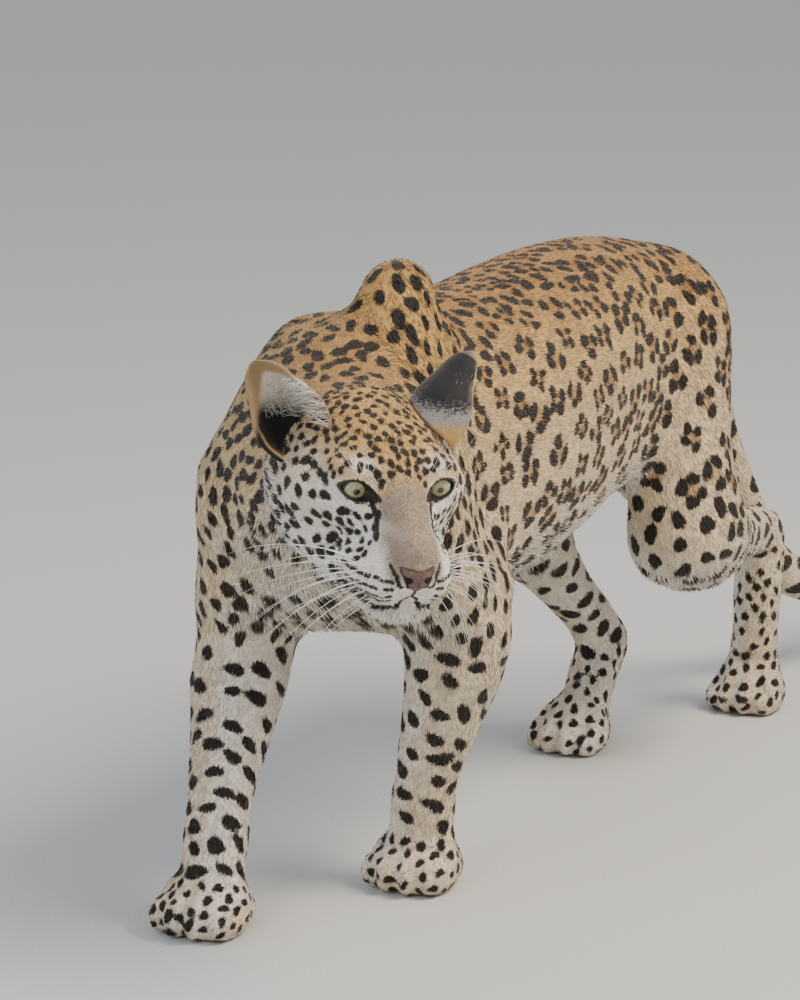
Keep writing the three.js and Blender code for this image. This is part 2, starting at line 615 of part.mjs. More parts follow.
for (const [name, spec] of Object.entries(EARS)) {
  solids[name] = largest(ear(spec).subtract(grownHead));
}

// Where two neighbours still share space, the one that comes first here keeps it
const KEEPS = ["eye", "nose", "ear", "head", "paw", "forearm", "metatarsus", "shank", "upper_arm", "thigh",
    "tail", "neck",
  "torso"];
const rank = (name) => KEEPS.findIndex((word) => name.includes(word));
const names = Object.keys(solids).sort((a, b) => rank(a) - rank(b));
names.forEach((name, i) => {
  for (const other of names.slice(i + 1)) {
    if (solids[name].intersect(solids[other]).volume() > 1e-3) {
      solids[other] = largest(solids[other].subtract(solids[name]));
    }
  }
});

// Colours of the coat's ground and of the bare parts, and how rough each is
const FINISHES = {
  coat: [0xc89f62, 0.9], pale: [0xdcd2bf, 0.9], ear: [0x8d7a60, 0.9], eye: [0xb9a65c, 0.15],
      nose: [0x6f4f46, 0.6],
};
const finishOf = (name) => {
  if (name.startsWith("eye")) return "eye";
  if (name.startsWith("ear")) return "ear";
  if (name === "nose") return "nose";
  return /paw|metatarsus|forearm/.test(name) ? "pale" : "coat";
};

// The origin is the middle of the footprint, on the floor
const group = new THREE.Group();
group.name = "leopard";
for (const [name, solid] of Object.entries(solids)) {
  const [color, roughness] = FINISHES[finishOf(name)];
  const mesh = new THREE.Mesh(toGeometry(solid), new THREE.MeshStandardMaterial({ color, roughness,
      metalness: 0 }));
  mesh.name = name;
  group.add(mesh);
}
const box = new THREE.Box3().setFromObject(group);
const middle = box.getCenter(new THREE.Vector3());
group.position.set(-middle.x, -middle.y, -box.min.z);
group.updateMatrixWorld(true);

export default group;
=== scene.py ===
"""A walking leopard, life size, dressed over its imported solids.

One skin runs over all the solids of flesh, a coat's depth inside them. Its markings are distances to
spots that are scattered over the body by region, and the tufts of the coat take their colours from the
same spots. Lengths are in metres in the frame of the solids: the chest faces -Y, the animal's left is +X,
and the floor is z = 0. Places on the head are in millimetres in the head's own frame.
"""

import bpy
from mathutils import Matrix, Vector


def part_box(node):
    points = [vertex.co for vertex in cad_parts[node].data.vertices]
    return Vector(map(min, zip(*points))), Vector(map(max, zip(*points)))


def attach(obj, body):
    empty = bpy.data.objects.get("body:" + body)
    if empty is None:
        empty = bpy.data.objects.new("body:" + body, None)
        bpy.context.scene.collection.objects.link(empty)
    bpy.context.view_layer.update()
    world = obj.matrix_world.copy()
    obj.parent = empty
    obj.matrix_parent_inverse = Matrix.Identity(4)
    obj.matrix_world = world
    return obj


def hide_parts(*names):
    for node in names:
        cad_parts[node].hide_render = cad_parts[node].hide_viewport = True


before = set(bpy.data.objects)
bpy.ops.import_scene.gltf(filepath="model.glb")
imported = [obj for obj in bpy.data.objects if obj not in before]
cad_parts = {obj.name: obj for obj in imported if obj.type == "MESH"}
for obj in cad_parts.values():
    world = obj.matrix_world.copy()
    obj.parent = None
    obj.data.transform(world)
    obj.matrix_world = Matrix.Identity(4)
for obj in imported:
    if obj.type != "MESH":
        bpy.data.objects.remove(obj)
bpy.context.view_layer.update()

import logging
import math
from dataclasses import dataclass
from enum import Enum
from itertools import product

import bmesh
import bpy
import numpy as np
from mathutils import Matrix, Vector
from mathutils.bvhtree import BVHTree
from mathutils.kdtree import KDTree

log = logging.getLogger("leopard")
MM = 0.001
SEED = 7

# Measures of the head in millimetres
NOSE_REACH = 78.0
NOSE_DROP = 49.0
EYE_OUT = 38.0
EYE_DEPTH = 12.5
BALL_RADIUS = 16.3

# Heights over the floor in metres, below or above which the coat changes
SOLE = 2.5 * MM
BELLY_LINE = 0.29
SPINE_LINE = 0.5


def colour(text: str) -> tuple[float, float, float, float]:
    """Turns an sRGB hex colour into linear light.

    Args:
        text: Six hex digits.

    Returns:
        Linear red, green, blue and alpha.
    """
    channels = [int(text[i:i + 2], 16) / 255 for i in (0, 2, 4)]
    linear = [c / 12.92 if c <= 0.04045 else ((c + 0.055) / 1.055) ** 2.4 for c in channels]
    return (*linear, 1.0)


def towards(tone: np.ndarray, other: np.ndarray, share: np.ndarray) -> np.ndarray:
    """Moves colours towards other colours by a share for each point."""
    return tone + (other - tone) * share[:, None]


def smoothstep(x: np.ndarray, low: float, high: float) -> np.ndarray:
    """Rises smoothly from 0 at low to 1 at high; falls where low is above high."""
    t = np.clip((x - low) / (high - low), 0.0, 1.0)
    return t * t * (3 - 2 * t)


def box_middle(name: str) -> np.ndarray:
    """Gives the middle of a node's box."""
    return np.mean([list(corner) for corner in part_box(name)], axis=0)


def read_rows(source: bpy.types.bpy_prop_collection, key: str, width: int = 3,
              kind: type = float) -> np.ndarray:
    """Reads a property of a mesh's elements.

    Args:
        source: The elements.
        key: Name of the property.
        width: How many values each element has.
        kind: Type of the values.

    Returns:
        An array with one row for each element.
    """
    values = np.empty(len(source) * width, dtype=kind)
    source.foreach_get(key, values)
    return values.reshape(-1, width)


def store_values(mesh: bpy.types.Mesh, name: str, values: np.ndarray) -> None:
    """Stores a number for each vertex."""
    layer = mesh.attributes.new(name, "FLOAT", "POINT")
    layer.data.foreach_set("value", values.ravel().astype(np.float32))


def store_colours(mesh: bpy.types.Mesh, name: str, tones: np.ndarray) -> None:
    """Stores a linear colour for each vertex."""
    layer = mesh.attributes.new(name, "FLOAT_COLOR", "POINT")
    rgba = np.concatenate([np.clip(tones, 0, 1), np.ones((len(tones), 1))], axis=1)
    layer.data.foreach_set("color", rgba.astype(np.float32).ravel())


def to_mesh(shape: bmesh.types.BMesh, name: str) -> bpy.types.Mesh:
    """Turns a bmesh into a mesh of its own and frees it."""
    mesh = bpy.data.meshes.new(name)
    shape.to_mesh(mesh)
    shape.free()
    return mesh


def wrapped(piece: bpy.types.Object, voxel: float, rounds: int = 0) -> bpy.types.Mesh:
    """Wraps a piece's mesh in one closed surface of even faces.

    Args:
        piece: The piece, which keeps its mesh.
        voxel: Size of the faces, in metres.
        rounds: How often the surface is softened.

    Returns:
        The new mesh.
    """
    wrap = piece.modifiers.new("wrap", "REMESH")
    wrap.mode = "VOXEL"
    wrap.voxel_size = voxel
    if rounds:
        soften = piece.modifiers.new("soften", "SMOOTH")
        soften.factor = 0.5
        soften.iterations = rounds
    bpy.context.view_layer.update()
    mesh = bpy.data.meshes.new_from_object(piece.evaluated_get(bpy.context.evaluated_depsgraph_get()))
    piece.modifiers.clear()
    return mesh


def tree_of(mesh: bpy.types.Mesh) -> BVHTree:
    """Gives a mesh's surface for rays and nearest places."""
    return BVHTree.FromPolygons([v.co for v in mesh.vertices], [p.vertices for p in mesh.polygons])


def place_piece(name: str, mesh: bpy.types.Mesh) -> bpy.types.Object:
    """Puts a mesh in the scene as a piece."""
    piece = bpy.data.objects.new(name, mesh)
    bpy.context.collection.objects.link(piece)
    return piece


class Zone(Enum):
    """Regions of the coat, each with its own markings."""

    TRUNK = "trunk"
    THIGH = "thigh"
    SHOULDER = "shoulder"
    LIMB = "limb"
    PAW = "paw"
    NECK = "neck"
    TAIL = "tail"
    HEAD = "head"


@dataclass(frozen=True)
class Marking:
    """Spots of one zone, in millimetres; a ring above 0 is the radius of its rosettes."""

    spacing: float
    half_width: float
    half_length: float
    ring: float = 0.0


ZONES = list(Zone)
MARKINGS = {
    Zone.TRUNK: Marking(spacing=28.5, half_width=5.8, half_length=7.4, ring=9.8),
    Zone.THIGH: Marking(spacing=32.5, half_width=6.5, half_length=7.8, ring=11.0),
    Zone.SHOULDER: Marking(spacing=18, half_width=6.5, half_length=9.0),
    Zone.LIMB: Marking(spacing=20.5, half_width=6.6, half_length=10.2),
    Zone.PAW: Marking(spacing=12.5, half_width=4.1, half_length=5.6),
    Zone.NECK: Marking(spacing=16, half_width=5.9, half_length=8.6),
    Zone.TAIL: Marking(spacing=28, half_width=11.0, half_length=12.5),
    Zone.HEAD: Marking(spacing=12.2, half_width=5.0, half_length=6.1),
}

ZONE_OF_WORD = {
    "torso": Zone.TRUNK, "thigh": Zone.THIGH, "upper_arm": Zone.SHOULDER, "forearm": Zone.LIMB,
    "shank": Zone.LIMB, "metatarsus": Zone.PAW, "forepaw": Zone.PAW, "hindpaw": Zone.PAW,
    "neck": Zone.NECK, "tail": Zone.TAIL, "head": Zone.HEAD, "nose": Zone.HEAD,
}


@dataclass(frozen=True)
class Palette:
    """Colours of the coat, as sRGB hex."""

    gold: str = "bf985b"
    back: str = "a37c47"
    buff: str = "d9c6a6"
    cream: str = "ece6da"
    tan: str = "9a6634"
    black: str = "17110e"
    bridge: str = "8d7a66"


PALETTE = Palette()


@dataclass(frozen=True)
class HeadFrame:
    """The head's own frame: middle of the eyes' fronts, and unit directions left, ahead and up."""

    eyes: np.ndarray
    left: np.ndarray
    ahead: np.ndarray
    up: np.ndarray

    @classmethod
    def measure(cls) -> "HeadFrame":
        """Works the frame out from the boxes of the two eyes and the nose.

        Returns:
            The head's frame.
        """
        left_eye, right_eye, nose = (box_middle(name) for name in ("eye_left", "eye_right", "nose"))
        left = left_eye - right_eye
        left /= np.linalg.norm(left)
        middle = (left_eye + right_eye) / 2
        to_nose = nose - middle
        to_nose -= left * (to_nose @ left)
        reach = np.linalg.norm(to_nose)
        slope = math.atan2(NOSE_DROP, NOSE_REACH)
        across = np.cross(left, to_nose / reach)
        ahead = math.cos(slope) * to_nose / reach - math.sin(slope) * across
        ahead /= np.linalg.norm(ahead)
        up = np.cross(left, ahead) * -1.0
        return cls(middle + ahead * EYE_DEPTH * MM, left, ahead, up if up[2] > 0 else -up)

    def local(self, points: np.ndarray) -> np.ndarray:
        """Gives points in head coordinates, in millimetres.

        Args:
            points: Places in the frame of the solids, shape (n, 3).

        Returns:
            Left, ahead and up of the middle of the eyes, shape (n, 3).
        """
        return (points - self.eyes) @ np.stack([self.left, self.ahead, self.up], axis=1) / MM

    def place(self, x: float, y: float, z: float) -> np.ndarray:
        """Gives the place of head coordinates in millimetres.

        Args:
            x: To the animal's left.
            y: Ahead.
            z: Up.

        Returns:
            The place in the frame of the solids.
        """
        return self.eyes + (self.left * x + self.ahead * y + self.up * z) * MM


# Materials

Socket = bpy.types.NodeSocket
Tone = Socket | tuple
MULTIPLY = {"data_type": "RGBA", "blend_type": "MULTIPLY"}


class Shader:
    """One material, whose nodes are added one by one."""

    def __init__(self, name: str) -> None:
        """Starts the material with its Principled BSDF."""
        self.material = bpy.data.materials.new(name)
        self.material.use_nodes = True
        self.nodes = self.material.node_tree.nodes
        self.links = self.material.node_tree.links
        self.surface = self.nodes["Principled BSDF"]

    def feed(self, node: bpy.types.Node, feeds: dict) -> None:
        """Gives a node's inputs, by index or name, their sockets or values."""
        for key, value in feeds.items():
            if isinstance(value, bpy.types.NodeSocket):
                self.links.new(value, node.inputs[key])
            else:
                node.inputs[key].default_value = value

    def add(self, kind: str, feeds: dict, out: int | str = 0, **settings: str) -> Socket:
        """Adds a node with its settings and links.

        Args:
            kind: Blender's node type.
            feeds: A socket or value for each input, by its index or name.
            out: The output wanted, by its index or name.
            **settings: Properties of the node by name.

        Returns:
            The output's socket.
        """
        node = self.nodes.new(kind)
        for key, value in settings.items():
            setattr(node, key, value)
        self.feed(node, feeds)
        return node.outputs[out]

    def grain(self, size_mm: tuple[float, float, float], detail: float = 3.0) -> Socket:
        """Lays noise over Object coordinates.

        Args:
            size_mm: Size of a grain in millimetres along X, Y and Z.
            detail: How many finer layers the noise has.

        Returns:
            The noise's socket.
        """
        place = self.add("ShaderNodeTexCoord", {}, "Object")
        stretched = self.add("ShaderNodeMapping", {0: place, 3: tuple(1000 / size for size in size_mm)})
        return self.add("ShaderNodeTexNoise", {0: stretched, 2: 1.0, 3: detail})

    def pass_over(self, value: Socket, low: float, high: float, first: Tone, second: Tone) -> Socket:
        """Passes smoothly from one colour to another.

        Args:
            value: The socket that decides.
            low: Its value at the first colour.
            high: Its value at the second colour.
            first: Colour or socket.
            second: Colour or socket.

        Returns:
            The colour's socket.
        """
        factor = self.add("ShaderNodeMapRange", {0: value, 1: low, 2: high}, interpolation_type="SMOOTHSTEP")
        return self.add("ShaderNodeMix", {0: factor, 6: first, 7: second}, 2, data_type="RGBA")


@dataclass(frozen=True)
class Fur:
    """Short dry leopard hair: matt, with a faint pale sheen where light grazes it."""

    roughness: float = 0.72
    specular: float = 0.28
    sheen: float = 0.22
    sheen_roughness: float = 0.45
    sheen_tint: str = "f2e6d2"
    along_mm: tuple = (0.9, 9.0, 0.9)
    down_mm: tuple = (0.9, 0.9, 8.0)
    drift_mm: tuple = (14, 24, 14)
    tuft_mm: tuple = (1.2, 1.2, 1.2)

    def begin(self, name: str) -> Shader:
        """Starts a material with the finish of dry hair."""
        shader = Shader(name)
        shader.feed(shader.surface, {
            "Roughness": self.roughness, "Specular IOR Level": self.specular, "Sheen Weight": self.sheen,
            "Sheen Roughness": self.sheen_roughness, "Sheen Tint": colour(self.sheen_tint)})
        return shader

    def on_tufts(self, name: str) -> bpy.types.Material:
        """Makes fur whose colour is stored on the mesh.

        Args:
            name: Name of the material.

        Returns:
            The material.
        """
        # Each lock shows a few lighter and darker hairs
        shader = self.begin(name)
        fine = shader.grain(self.tuft_mm, 2.0)
        tone = shader.pass_over(fine, 0.3, 0.7, (0.86, 0.86, 0.86, 1.0), (1.12, 1.11, 1.09, 1.0))
        stored = shader.add("ShaderNodeAttribute", {}, "Color", attribute_name="tint")
        tinted = shader.add("ShaderNodeMix", {0: 1.0, 6: stored, 7: tone}, 2, **MULTIPLY)
        shader.feed(shader.surface, {"Base Color": tinted})
        return shader.material

    def on_skin(self, name: str) -> bpy.types.Material:
        """Makes fur with hair streaks along the body and down the legs, over the stored colours and marks.

        Args:
            name: Name of the material.

        Returns:
            The material.
        """
        shader = self.begin(name)
        # Single hairs are too fine to show, so a streak stands for a few of them and lies as they do
        upright = shader.add("ShaderNodeAttribute", {}, "Fac", attribute_name="down")
        streaks = {0: upright, 2: shader.grain(self.along_mm), 3: shader.grain(self.down_mm)}
        hair = shader.add("ShaderNodeMix", streaks, 0, data_type="FLOAT")
        broad = shader.grain(self.drift_mm, 2.0)
        # Light and dark hairs, then a slow drift of warmth over the body
        lit = shader.pass_over(hair, 0.34, 0.66, (0.74, 0.72, 0.70, 1.0), (1.16, 1.15, 1.13, 1.0))
        drift = shader.pass_over(broad, 0.35, 0.65, (0.93, 0.92, 0.90, 1.0), (1.05, 1.04, 1.02, 1.0))
        tone = shader.add("ShaderNodeMix", {0: 1.0, 6: lit, 7: drift}, 2, **MULTIPLY)
        ground = shader.add("ShaderNodeAttribute", {}, "Color", attribute_name="ground")
        coat = shader.add("ShaderNodeMix", {0: 1.0, 6: ground, 7: tone}, 2, **MULTIPLY)
        # Hairs that cross a mark's edge make it ragged
        centred = shader.add("ShaderNodeMath", {0: hair, 1: 0.5}, operation="SUBTRACT")
        ragged = shader.add("ShaderNodeMath", {0: centred, 1: 5.0}, operation="MULTIPLY")
        mark = shader.add("ShaderNodeAttribute", {}, "Fac", attribute_name="mark")
        edge = shader.add("ShaderNodeMath", {0: mark, 1: ragged}, operation="ADD")
        dark = shader.pass_over(hair, 0.45, 0.8, colour(PALETTE.black), colour("33241a"))
        marked = shader.pass_over(edge, 0.9, -0.9, coat, dark)
        swell = shader.add("ShaderNodeBump", {"Strength": 0.25, "Distance": 3.0 * MM, "Height": broad})
        relief = {"Strength": 0.55, "Distance": 1.1 * MM, "Height": hair, "Normal": swell}
        normal = shader.add("ShaderNodeBump", relief)
        shader.feed(shader.surface, {"Base Color": marked, "Normal": normal})
        return shader.material


@dataclass(frozen=True)
class WetIris:
    """A leopard's eye: pale yellow-green iris, darker rim, round pupil, under a wet cornea's sharp gloss."""

    fibre_mm: tuple = (1.1, 1.1, 1.1)
    warm_mm: tuple = (2.2, 5.5)
    rim_mm: tuple = (9.2, 10.4)
    pupil_mm: tuple = (3.2, 2.6)

    def build(self) -> bpy.types.Material:
        """Makes the material, coloured by the distance from the pupil's middle."""
        shader = Shader("eye_wet")
        away = shader.add("ShaderNodeAttribute", {}, "Fac", attribute_name="from_pupil")
        fibres = shader.grain(self.fibre_mm, 4.0)
        iris = shader.pass_over(fibres, 0.3, 0.7, colour("8f8a58"), colour("c6c096"))
        iris = shader.pass_over(away, *self.warm_mm, colour("8f7f3c"), iris)
        iris = shader.pass_over(away, *self.rim_mm, iris, colour("15110d"))
        iris = shader.pass_over(away, *self.pupil_mm, iris, colour("020202"))
        shader.feed(shader.surface, {
            "Base Color": iris, "Roughness": 0.12, "Coat Weight": 1.0, "Coat Roughness": 0.03})
        return shader.material


@dataclass(frozen=True)
class NoseLeather:
    """Bare nose skin: pinkish brown, moist and finely pebbled, with dark edges, and nostrils painted dark as
    painted shade.
    """

    pebbles_per_metre: float = 900.0
    roughness: float = 0.42

    def build(self) -> bpy.types.Material:
        """Makes the material, darkened by the stored edge, which holds the dark rim and the painted shade in
        the nostrils.
        """
        shader = Shader("nose_leather")
        place = shader.add("ShaderNodeTexCoord", {}, "Object")
        pebble = shader.add("ShaderNodeTexVoronoi", {0: place, 2: self.pebbles_per_metre})
        inner = shader.pass_over(pebble, 0.1, 0.6, colour("86655a"), colour("5f453c"))
        edge = shader.add("ShaderNodeAttribute", {}, "Fac", attribute_name="edge")
        # The stored edge darkens the rim and the middle line, and paints shade into the nostrils and their
        # side slits
        tone = shader.add("ShaderNodeMix", {0: edge, 6: inner, 7: colour("1b1311")}, 2, data_type="RGBA")
        normal = shader.add("ShaderNodeBump", {"Strength": 0.5, "Distance": 0.4 * MM, "Height": pebble})
        shader.feed(shader.surface, {"Base Color": tone, "Normal": normal, "Roughness": self.roughness})
        return shader.material


@dataclass(frozen=True)
class Grained:
    """A plain finish whose tone drifts a little: matt floor paper, horny whisker, or moist dark lid skin."""

    name: str
    dark: tuple
    light: tuple
    roughness: float
    grain_mm: float = 2.0
    detail: float = 2.0

    @classmethod
    def shaded(cls, name: str, tone: str, roughness: float) -> "Grained":
        """Takes the dark tone a little below the light one."""
        light = colour(tone)
        return cls(name, tuple(0.86 * c for c in light[:3]) + (1.0,), light, roughness)

    def build(self) -> bpy.types.Material:
        """Makes the material."""
        shader = Shader(self.name)
        grain = shader.grain((self.grain_mm,) * 3, self.detail)
        tone = shader.pass_over(grain, 0.3, 0.7, self.dark, self.light)
        shader.feed(shader.surface, {"Base Color": tone, "Roughness": self.roughness})
        return shader.material


# The skin


@dataclass
class Skin:
    """The body's skin: its mesh, and for every vertex a zone, the lie of the hair, colours and markings.

    Sizes are in metres, but those of the eyes, the face's lines and the far distance are in millimetres.
    """

    head: HeadFrame
    voxel: float = 5.5 * MM
    snap_reach: float = 2.2 * MM
    coat_depth: float = 2.6 * MM
    foot_height: float = 0.062
    smooth_rounds: int = 14
    eye_sink: float = 2.2
    lid_rise: float = 1.3
    lid_slope: float = 3.5
    crown_spacing: float = 8.3 * MM
    cheek_spacing: float = 8.6 * MM
    belly_spacing: float = 20.5 * MM
    grid_cell: float = 0.03
    line_step: float = 1.4
    smooth_below: float = 2 * MM
    far: float = 9.0

    def __post_init__(self) -> None:
        """Lists the nodes of flesh."""
        self.flesh = [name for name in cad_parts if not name.startswith(("eye", "ear"))]

    def build(self) -> bpy.types.Object:
        """Makes the skin object with all its attributes.

        Returns:
            The skin.
        """
        self.mesh = self.wrap()
        self.read()
        self.name_zones()
        self.settle()
        self.lay_hair()
        self.paint_ground()
        self.mark()
        self.store()
        self.mesh.materials.append(Fur().on_skin("fur_short"))
        piece = place_piece("skin", self.mesh)
        self.unwrap(piece)
        return piece

    def wrap(self) -> bpy.types.Mesh:
        """Wraps all solids of flesh and the eyes in one closed surface.

        Returns:
            The surface, with finer faces where the shape is small.
        """
        joined = bmesh.new()
        for name in self.flesh + ["eye_left", "eye_right"]:
            joined.from_mesh(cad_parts[name].data)
        solids = to_mesh(joined, "solids")
        holder = place_piece("solids", solids)
        mesh = wrapped(holder, self.voxel)
        bpy.data.objects.remove(holder)
        bpy.data.meshes.remove(solids)
        mesh.name = "skin"
        return self.refine(self.largest(mesh))

    def refine(self, mesh: bpy.types.Mesh) -> bpy.types.Mesh:
        """Divides the faces of the head and the feet, then those of the muzzle, then twice those of the eyes.

        Args:
            mesh: The wrapped surface.

        Returns:
            The same mesh, refined.
        """
        fine = bmesh.new()
        fine.from_mesh(mesh)
        eyes = [(EYE_OUT, 0, 0), (-EYE_OUT, 0, 0)]
        rounds = ((80, [(0, 22, -35)]), (52, [(0, 52, -64)]), (27, eyes), (21, eyes))
        for number, (reach, centres) in enumerate(rounds):
            places = np.array([v.co[:] for v in fine.verts])
            local = self.head.local(places)
            near = np.min([np.linalg.norm(local - np.array(c), axis=1) for c in centres], axis=0) < reach
            if number == 0:
                near |= places[:, 2] < self.foot_height
            edges = [edge for edge in fine.edges if all(near[vertex.index] for vertex in edge.verts)]
            bmesh.ops.subdivide_edges(fine, edges=edges, cuts=1, use_grid_fill=True, smooth=0.0)
            bmesh.ops.triangulate(fine, faces=[face for face in fine.faces if len(face.verts) > 3])
            fine.verts.index_update()
        fine.to_mesh(mesh)
        fine.free()
        return mesh

    @staticmethod
    def largest(mesh: bpy.types.Mesh) -> bpy.types.Mesh:
        """Keeps the largest connected surface.

        Args:
            mesh: The wrapped solids, with the walls of any hollow inside.

        Returns:
            The same mesh, without the smaller surfaces.
        """
        shell = bmesh.new()
        shell.from_mesh(mesh)
        shell.verts.ensure_lookup_table()
        seen = np.zeros(len(shell.verts), dtype=bool)
        parts = []
        for start in shell.verts:
            if seen[start.index]:
                continue
            seen[start.index] = True
            part = [start]
            for vertex in part:
                for edge in vertex.link_edges:
                    other = edge.other_vert(vertex)
                    if not seen[other.index]:
                        seen[other.index] = True
                        part.append(other)
            parts.append(part)
        parts.sort(key=len)
        loose = [vertex for part in parts[:-1] for vertex in part]
        bmesh.ops.delete(shell, geom=loose, context="VERTS")
        shell.to_mesh(mesh)
        shell.free()
        return mesh

    def read(self) -> None:
        """Reads places, edges and normals of the mesh into arrays."""
        self.places = read_rows(self.mesh.vertices, "co")
        self.edges = read_rows(self.mesh.edges, "vertices", 2, np.int64)
        self.normals = read_rows(self.mesh.vertex_normals, "vector")

    def write_places(self) -> None:
        """Writes the places back to the mesh and reads the new normals."""
        self.mesh.vertices.foreach_set("co", self.places.ravel())
        self.mesh.update()
        self.normals = read_rows(self.mesh.vertex_normals, "vector")

    def among(self, *zones: Zone) -> np.ndarray:
        """Tells which vertices lie in any of the zones."""
        return np.isin(self.zone, [ZONES.index(zone) for zone in zones])

    def average(self, values: np.ndarray, rounds: int, share: float | np.ndarray = 0.5) -> np.ndarray:
        """Blurs values over the surface.

        Args:
            values: One row for each vertex.
            rounds: How often each vertex moves towards its neighbours' mean.
            share: How far it moves each time, one number or one for each vertex.

        Returns:
            The blurred values.
        """
        values = values.astype(float).copy()
        a, b = self.edges.T
        degree = np.bincount(a, minlength=len(values)) + np.bincount(b, minlength=len(values))
        flat = values.reshape(len(values), -1)
        share = np.broadcast_to(np.asarray(share, dtype=float), (len(values),))
        for _ in range(rounds):
            for k in range(flat.shape[1]):
                column = flat[:, k]
                total = np.bincount(a, column[b], len(column)) + np.bincount(b, column[a], len(column))
                flat[:, k] = column + share * (total / np.maximum(degree, 1) - column)
        return flat.reshape(values.shape)

    def name_zones(self) -> None:
        """Gives each vertex the node it lies on, and from that its zone."""
        verts, faces, owner = [], [], []
        for index, name in enumerate(self.flesh):
            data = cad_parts[name].data
            offset = len(verts)
            verts.extend(v.co.copy() for v in data.vertices)
            for polygon in data.polygons:
                faces.append([offset + i for i in polygon.vertices])
                owner.append(index)
        tree = BVHTree.FromPolygons(verts, faces)
        found = [tree.find_nearest(Vector(p)) for p in self.places]
        self.node = np.array([owner[index] for _, _, index, _ in found])
        zones = [next(zone for word, zone in ZONE_OF_WORD.items() if word in name) for name in self.flesh]
        self.zone = np.array([ZONES.index(zone) for zone in zones])[self.node]
        # The finer faces follow the solids of the head and the feet
        snapped = np.array([place for place, _, _, _ in found])
        close = np.linalg.norm(snapped - self.places, axis=1) < self.snap_reach
        close &= self.among(Zone.HEAD, Zone.PAW)
        self.places[close] = snapped[close]
        self.face = self.average(self.among(Zone.HEAD), 6)
        self.foot = self.average(self.among(Zone.PAW), 6)

    def settle(self) -> None:
        """Smooths the facets away, least on face and feet, and draws the skin in by the coat's depth."""
        softness = 1.0 - 0.86 * np.maximum(self.face, 0.9 * self.foot)
        smooth = self.average(self.places, self.smooth_rounds, 0.5 * softness)
        # A step out again keeps the legs from thinning
        again = self.average(smooth, self.smooth_rounds, 0.5 * softness)
        self.places = smooth + 0.9 * (smooth - again)
        self.write_places()
        depth = self.coat_depth * (1 - 0.55 * self.face) * (1 - 0.6 * self.foot)
        self.places = self.places - self.normals * depth[:, None]
        self.places[:, 2] = np.maximum(self.places[:, 2], 0.2 * MM)
        self.open_eyes()
        self.write_places()

    def open_eyes(self) -> None:
        """Draws the skin in behind each eyeball's opening and lays the lids over the ball."""
        local = self.head.local(self.places)
        for side in (1, -1):
            centre = np.array([EYE_OUT * side, -EYE_DEPTH, 0.0])
            offset = local - centre
            reach = np.linalg.norm(offset, axis=1)
            round_eye = self.opening(offset[:, 0] * side, offset[:, 2])
            near = (reach < 27) & (offset[:, 1] > 0)
            within = near & (round_eye < 1)
            over = near & (round_eye >= 1) & (round_eye < 1.9)
            wanted = reach.copy()
            wanted[within] = np.minimum(reach[within], BALL_RADIUS - self.eye_sink)
            lid = BALL_RADIUS + self.lid_rise - self.lid_slope * smoothstep(round_eye[over], 1.3, 1.9)
            wanted[over] = np.maximum(reach[over], lid)
            local = centre + offset * (wanted / np.maximum(reach, 1e-6))[:, None]
        axes = np.stack([self.head.left, self.head.ahead, self.head.up])
        self.places = self.head.eyes + (local * MM) @ axes

    @staticmethod
    def opening(outward: np.ndarray, rise: np.ndarray) -> np.ndarray:
        """Measures a place against the almond rim of an eye, whose inner corner is long and low.

        Args:
            outward: Millimetres from the eye's middle, away from the nose.
            rise: Millimetres above the eye's middle.

        Returns:
            1 on the rim, less inside and more outside.
        """
        tilt = rise - 0.13 * outward - 0.2
        half = np.where(outward < 0, 15.0, 13.6)
        high = np.where(tilt > 0, 9.0, 8.6) * np.clip(1 - (np.abs(outward) / 25) ** 2, 0.3, 1)
        return np.hypot(outward / half, tilt / high)

    def lay_hair(self) -> None:
        """Finds the lie of the hair: away from the nose, along the body to the tail, and down the legs."""
        centre = {name: box_middle(name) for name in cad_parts}
        target = {"neck": "torso_chest", "tail_1": "tail_2", "tail_2": "tail_3", "tail_3": "tail_4"}
        legs = ("upper_arm", "forearm", "forepaw"), ("thigh", "shank", "metatarsus", "hindpaw")
        for side in ("left", "right"):
            for leg in legs:
                target.update({f"{a}_{side}": f"{b}_{side}" for a, b in zip(leg, leg[1:])})
        ways = []
        for name in self.flesh:
            if name in target:
                way = centre[target[name]] - centre[name]
            elif "paw" in name:
                way = np.array([0.0, -1.0, -0.25])
            elif name == "tail_4":
                way = centre["tail_4"] - centre["tail_3"]
            else:
                way = np.array([0.0, 1.0, -0.12])
            ways.append(way / np.linalg.norm(way))
        lie = np.array(ways)[self.node]
        nose = self.head.place(0, 74, -40)
        away = self.places - nose
        away /= np.linalg.norm(away, axis=1, keepdims=True)
        on_head = self.among(Zone.HEAD)
        lie[on_head] = away[on_head]
        lie = self.average(lie, self.smooth_rounds)
        lie -= self.normals * np.sum(lie * self.normals, axis=1, keepdims=True)
        self.lie = lie / np.maximum(np.linalg.norm(lie, axis=1, keepdims=True), 1e-6)
        self.down = smoothstep(np.abs(self.lie[:, 2]), 0.45, 0.8)

    def paint_ground(self) -> None:
        """Mixes the ground colour: gold above, cream below and inside the legs, and the face's own."""
        shade = {key: np.array(colour(getattr(PALETTE, key))[:3]) for key in PALETTE.__dataclass_fields__}
        up = self.average(self.normals, 8)[:, 2]
        height = self.places[:, 2]
        inner = np.sign(self.places[:, 0] + 0.042) * self.normals[:, 0] * -1
        belly = smoothstep(-up, 0.15, 0.75) * smoothstep(height, 0.12, 0.25)
        leg = smoothstep(height, 0.34, 0.2)
        pale = np.clip(belly + leg * (0.3 + 0.7 * smoothstep(inner, -0.25, 0.45)), 0, 1)
        low = smoothstep(height, 0.53, 0.34)
        ground = towards(shade["gold"], shade["back"], smoothstep(up, 0.3, 0.95))
        ground = towards(ground, shade["buff"], 0.85 * low)
        ground = towards(ground, shade["cream"], 0.8 * pale)
        self.ground = towards(ground, self.paint_face(shade), self.face)

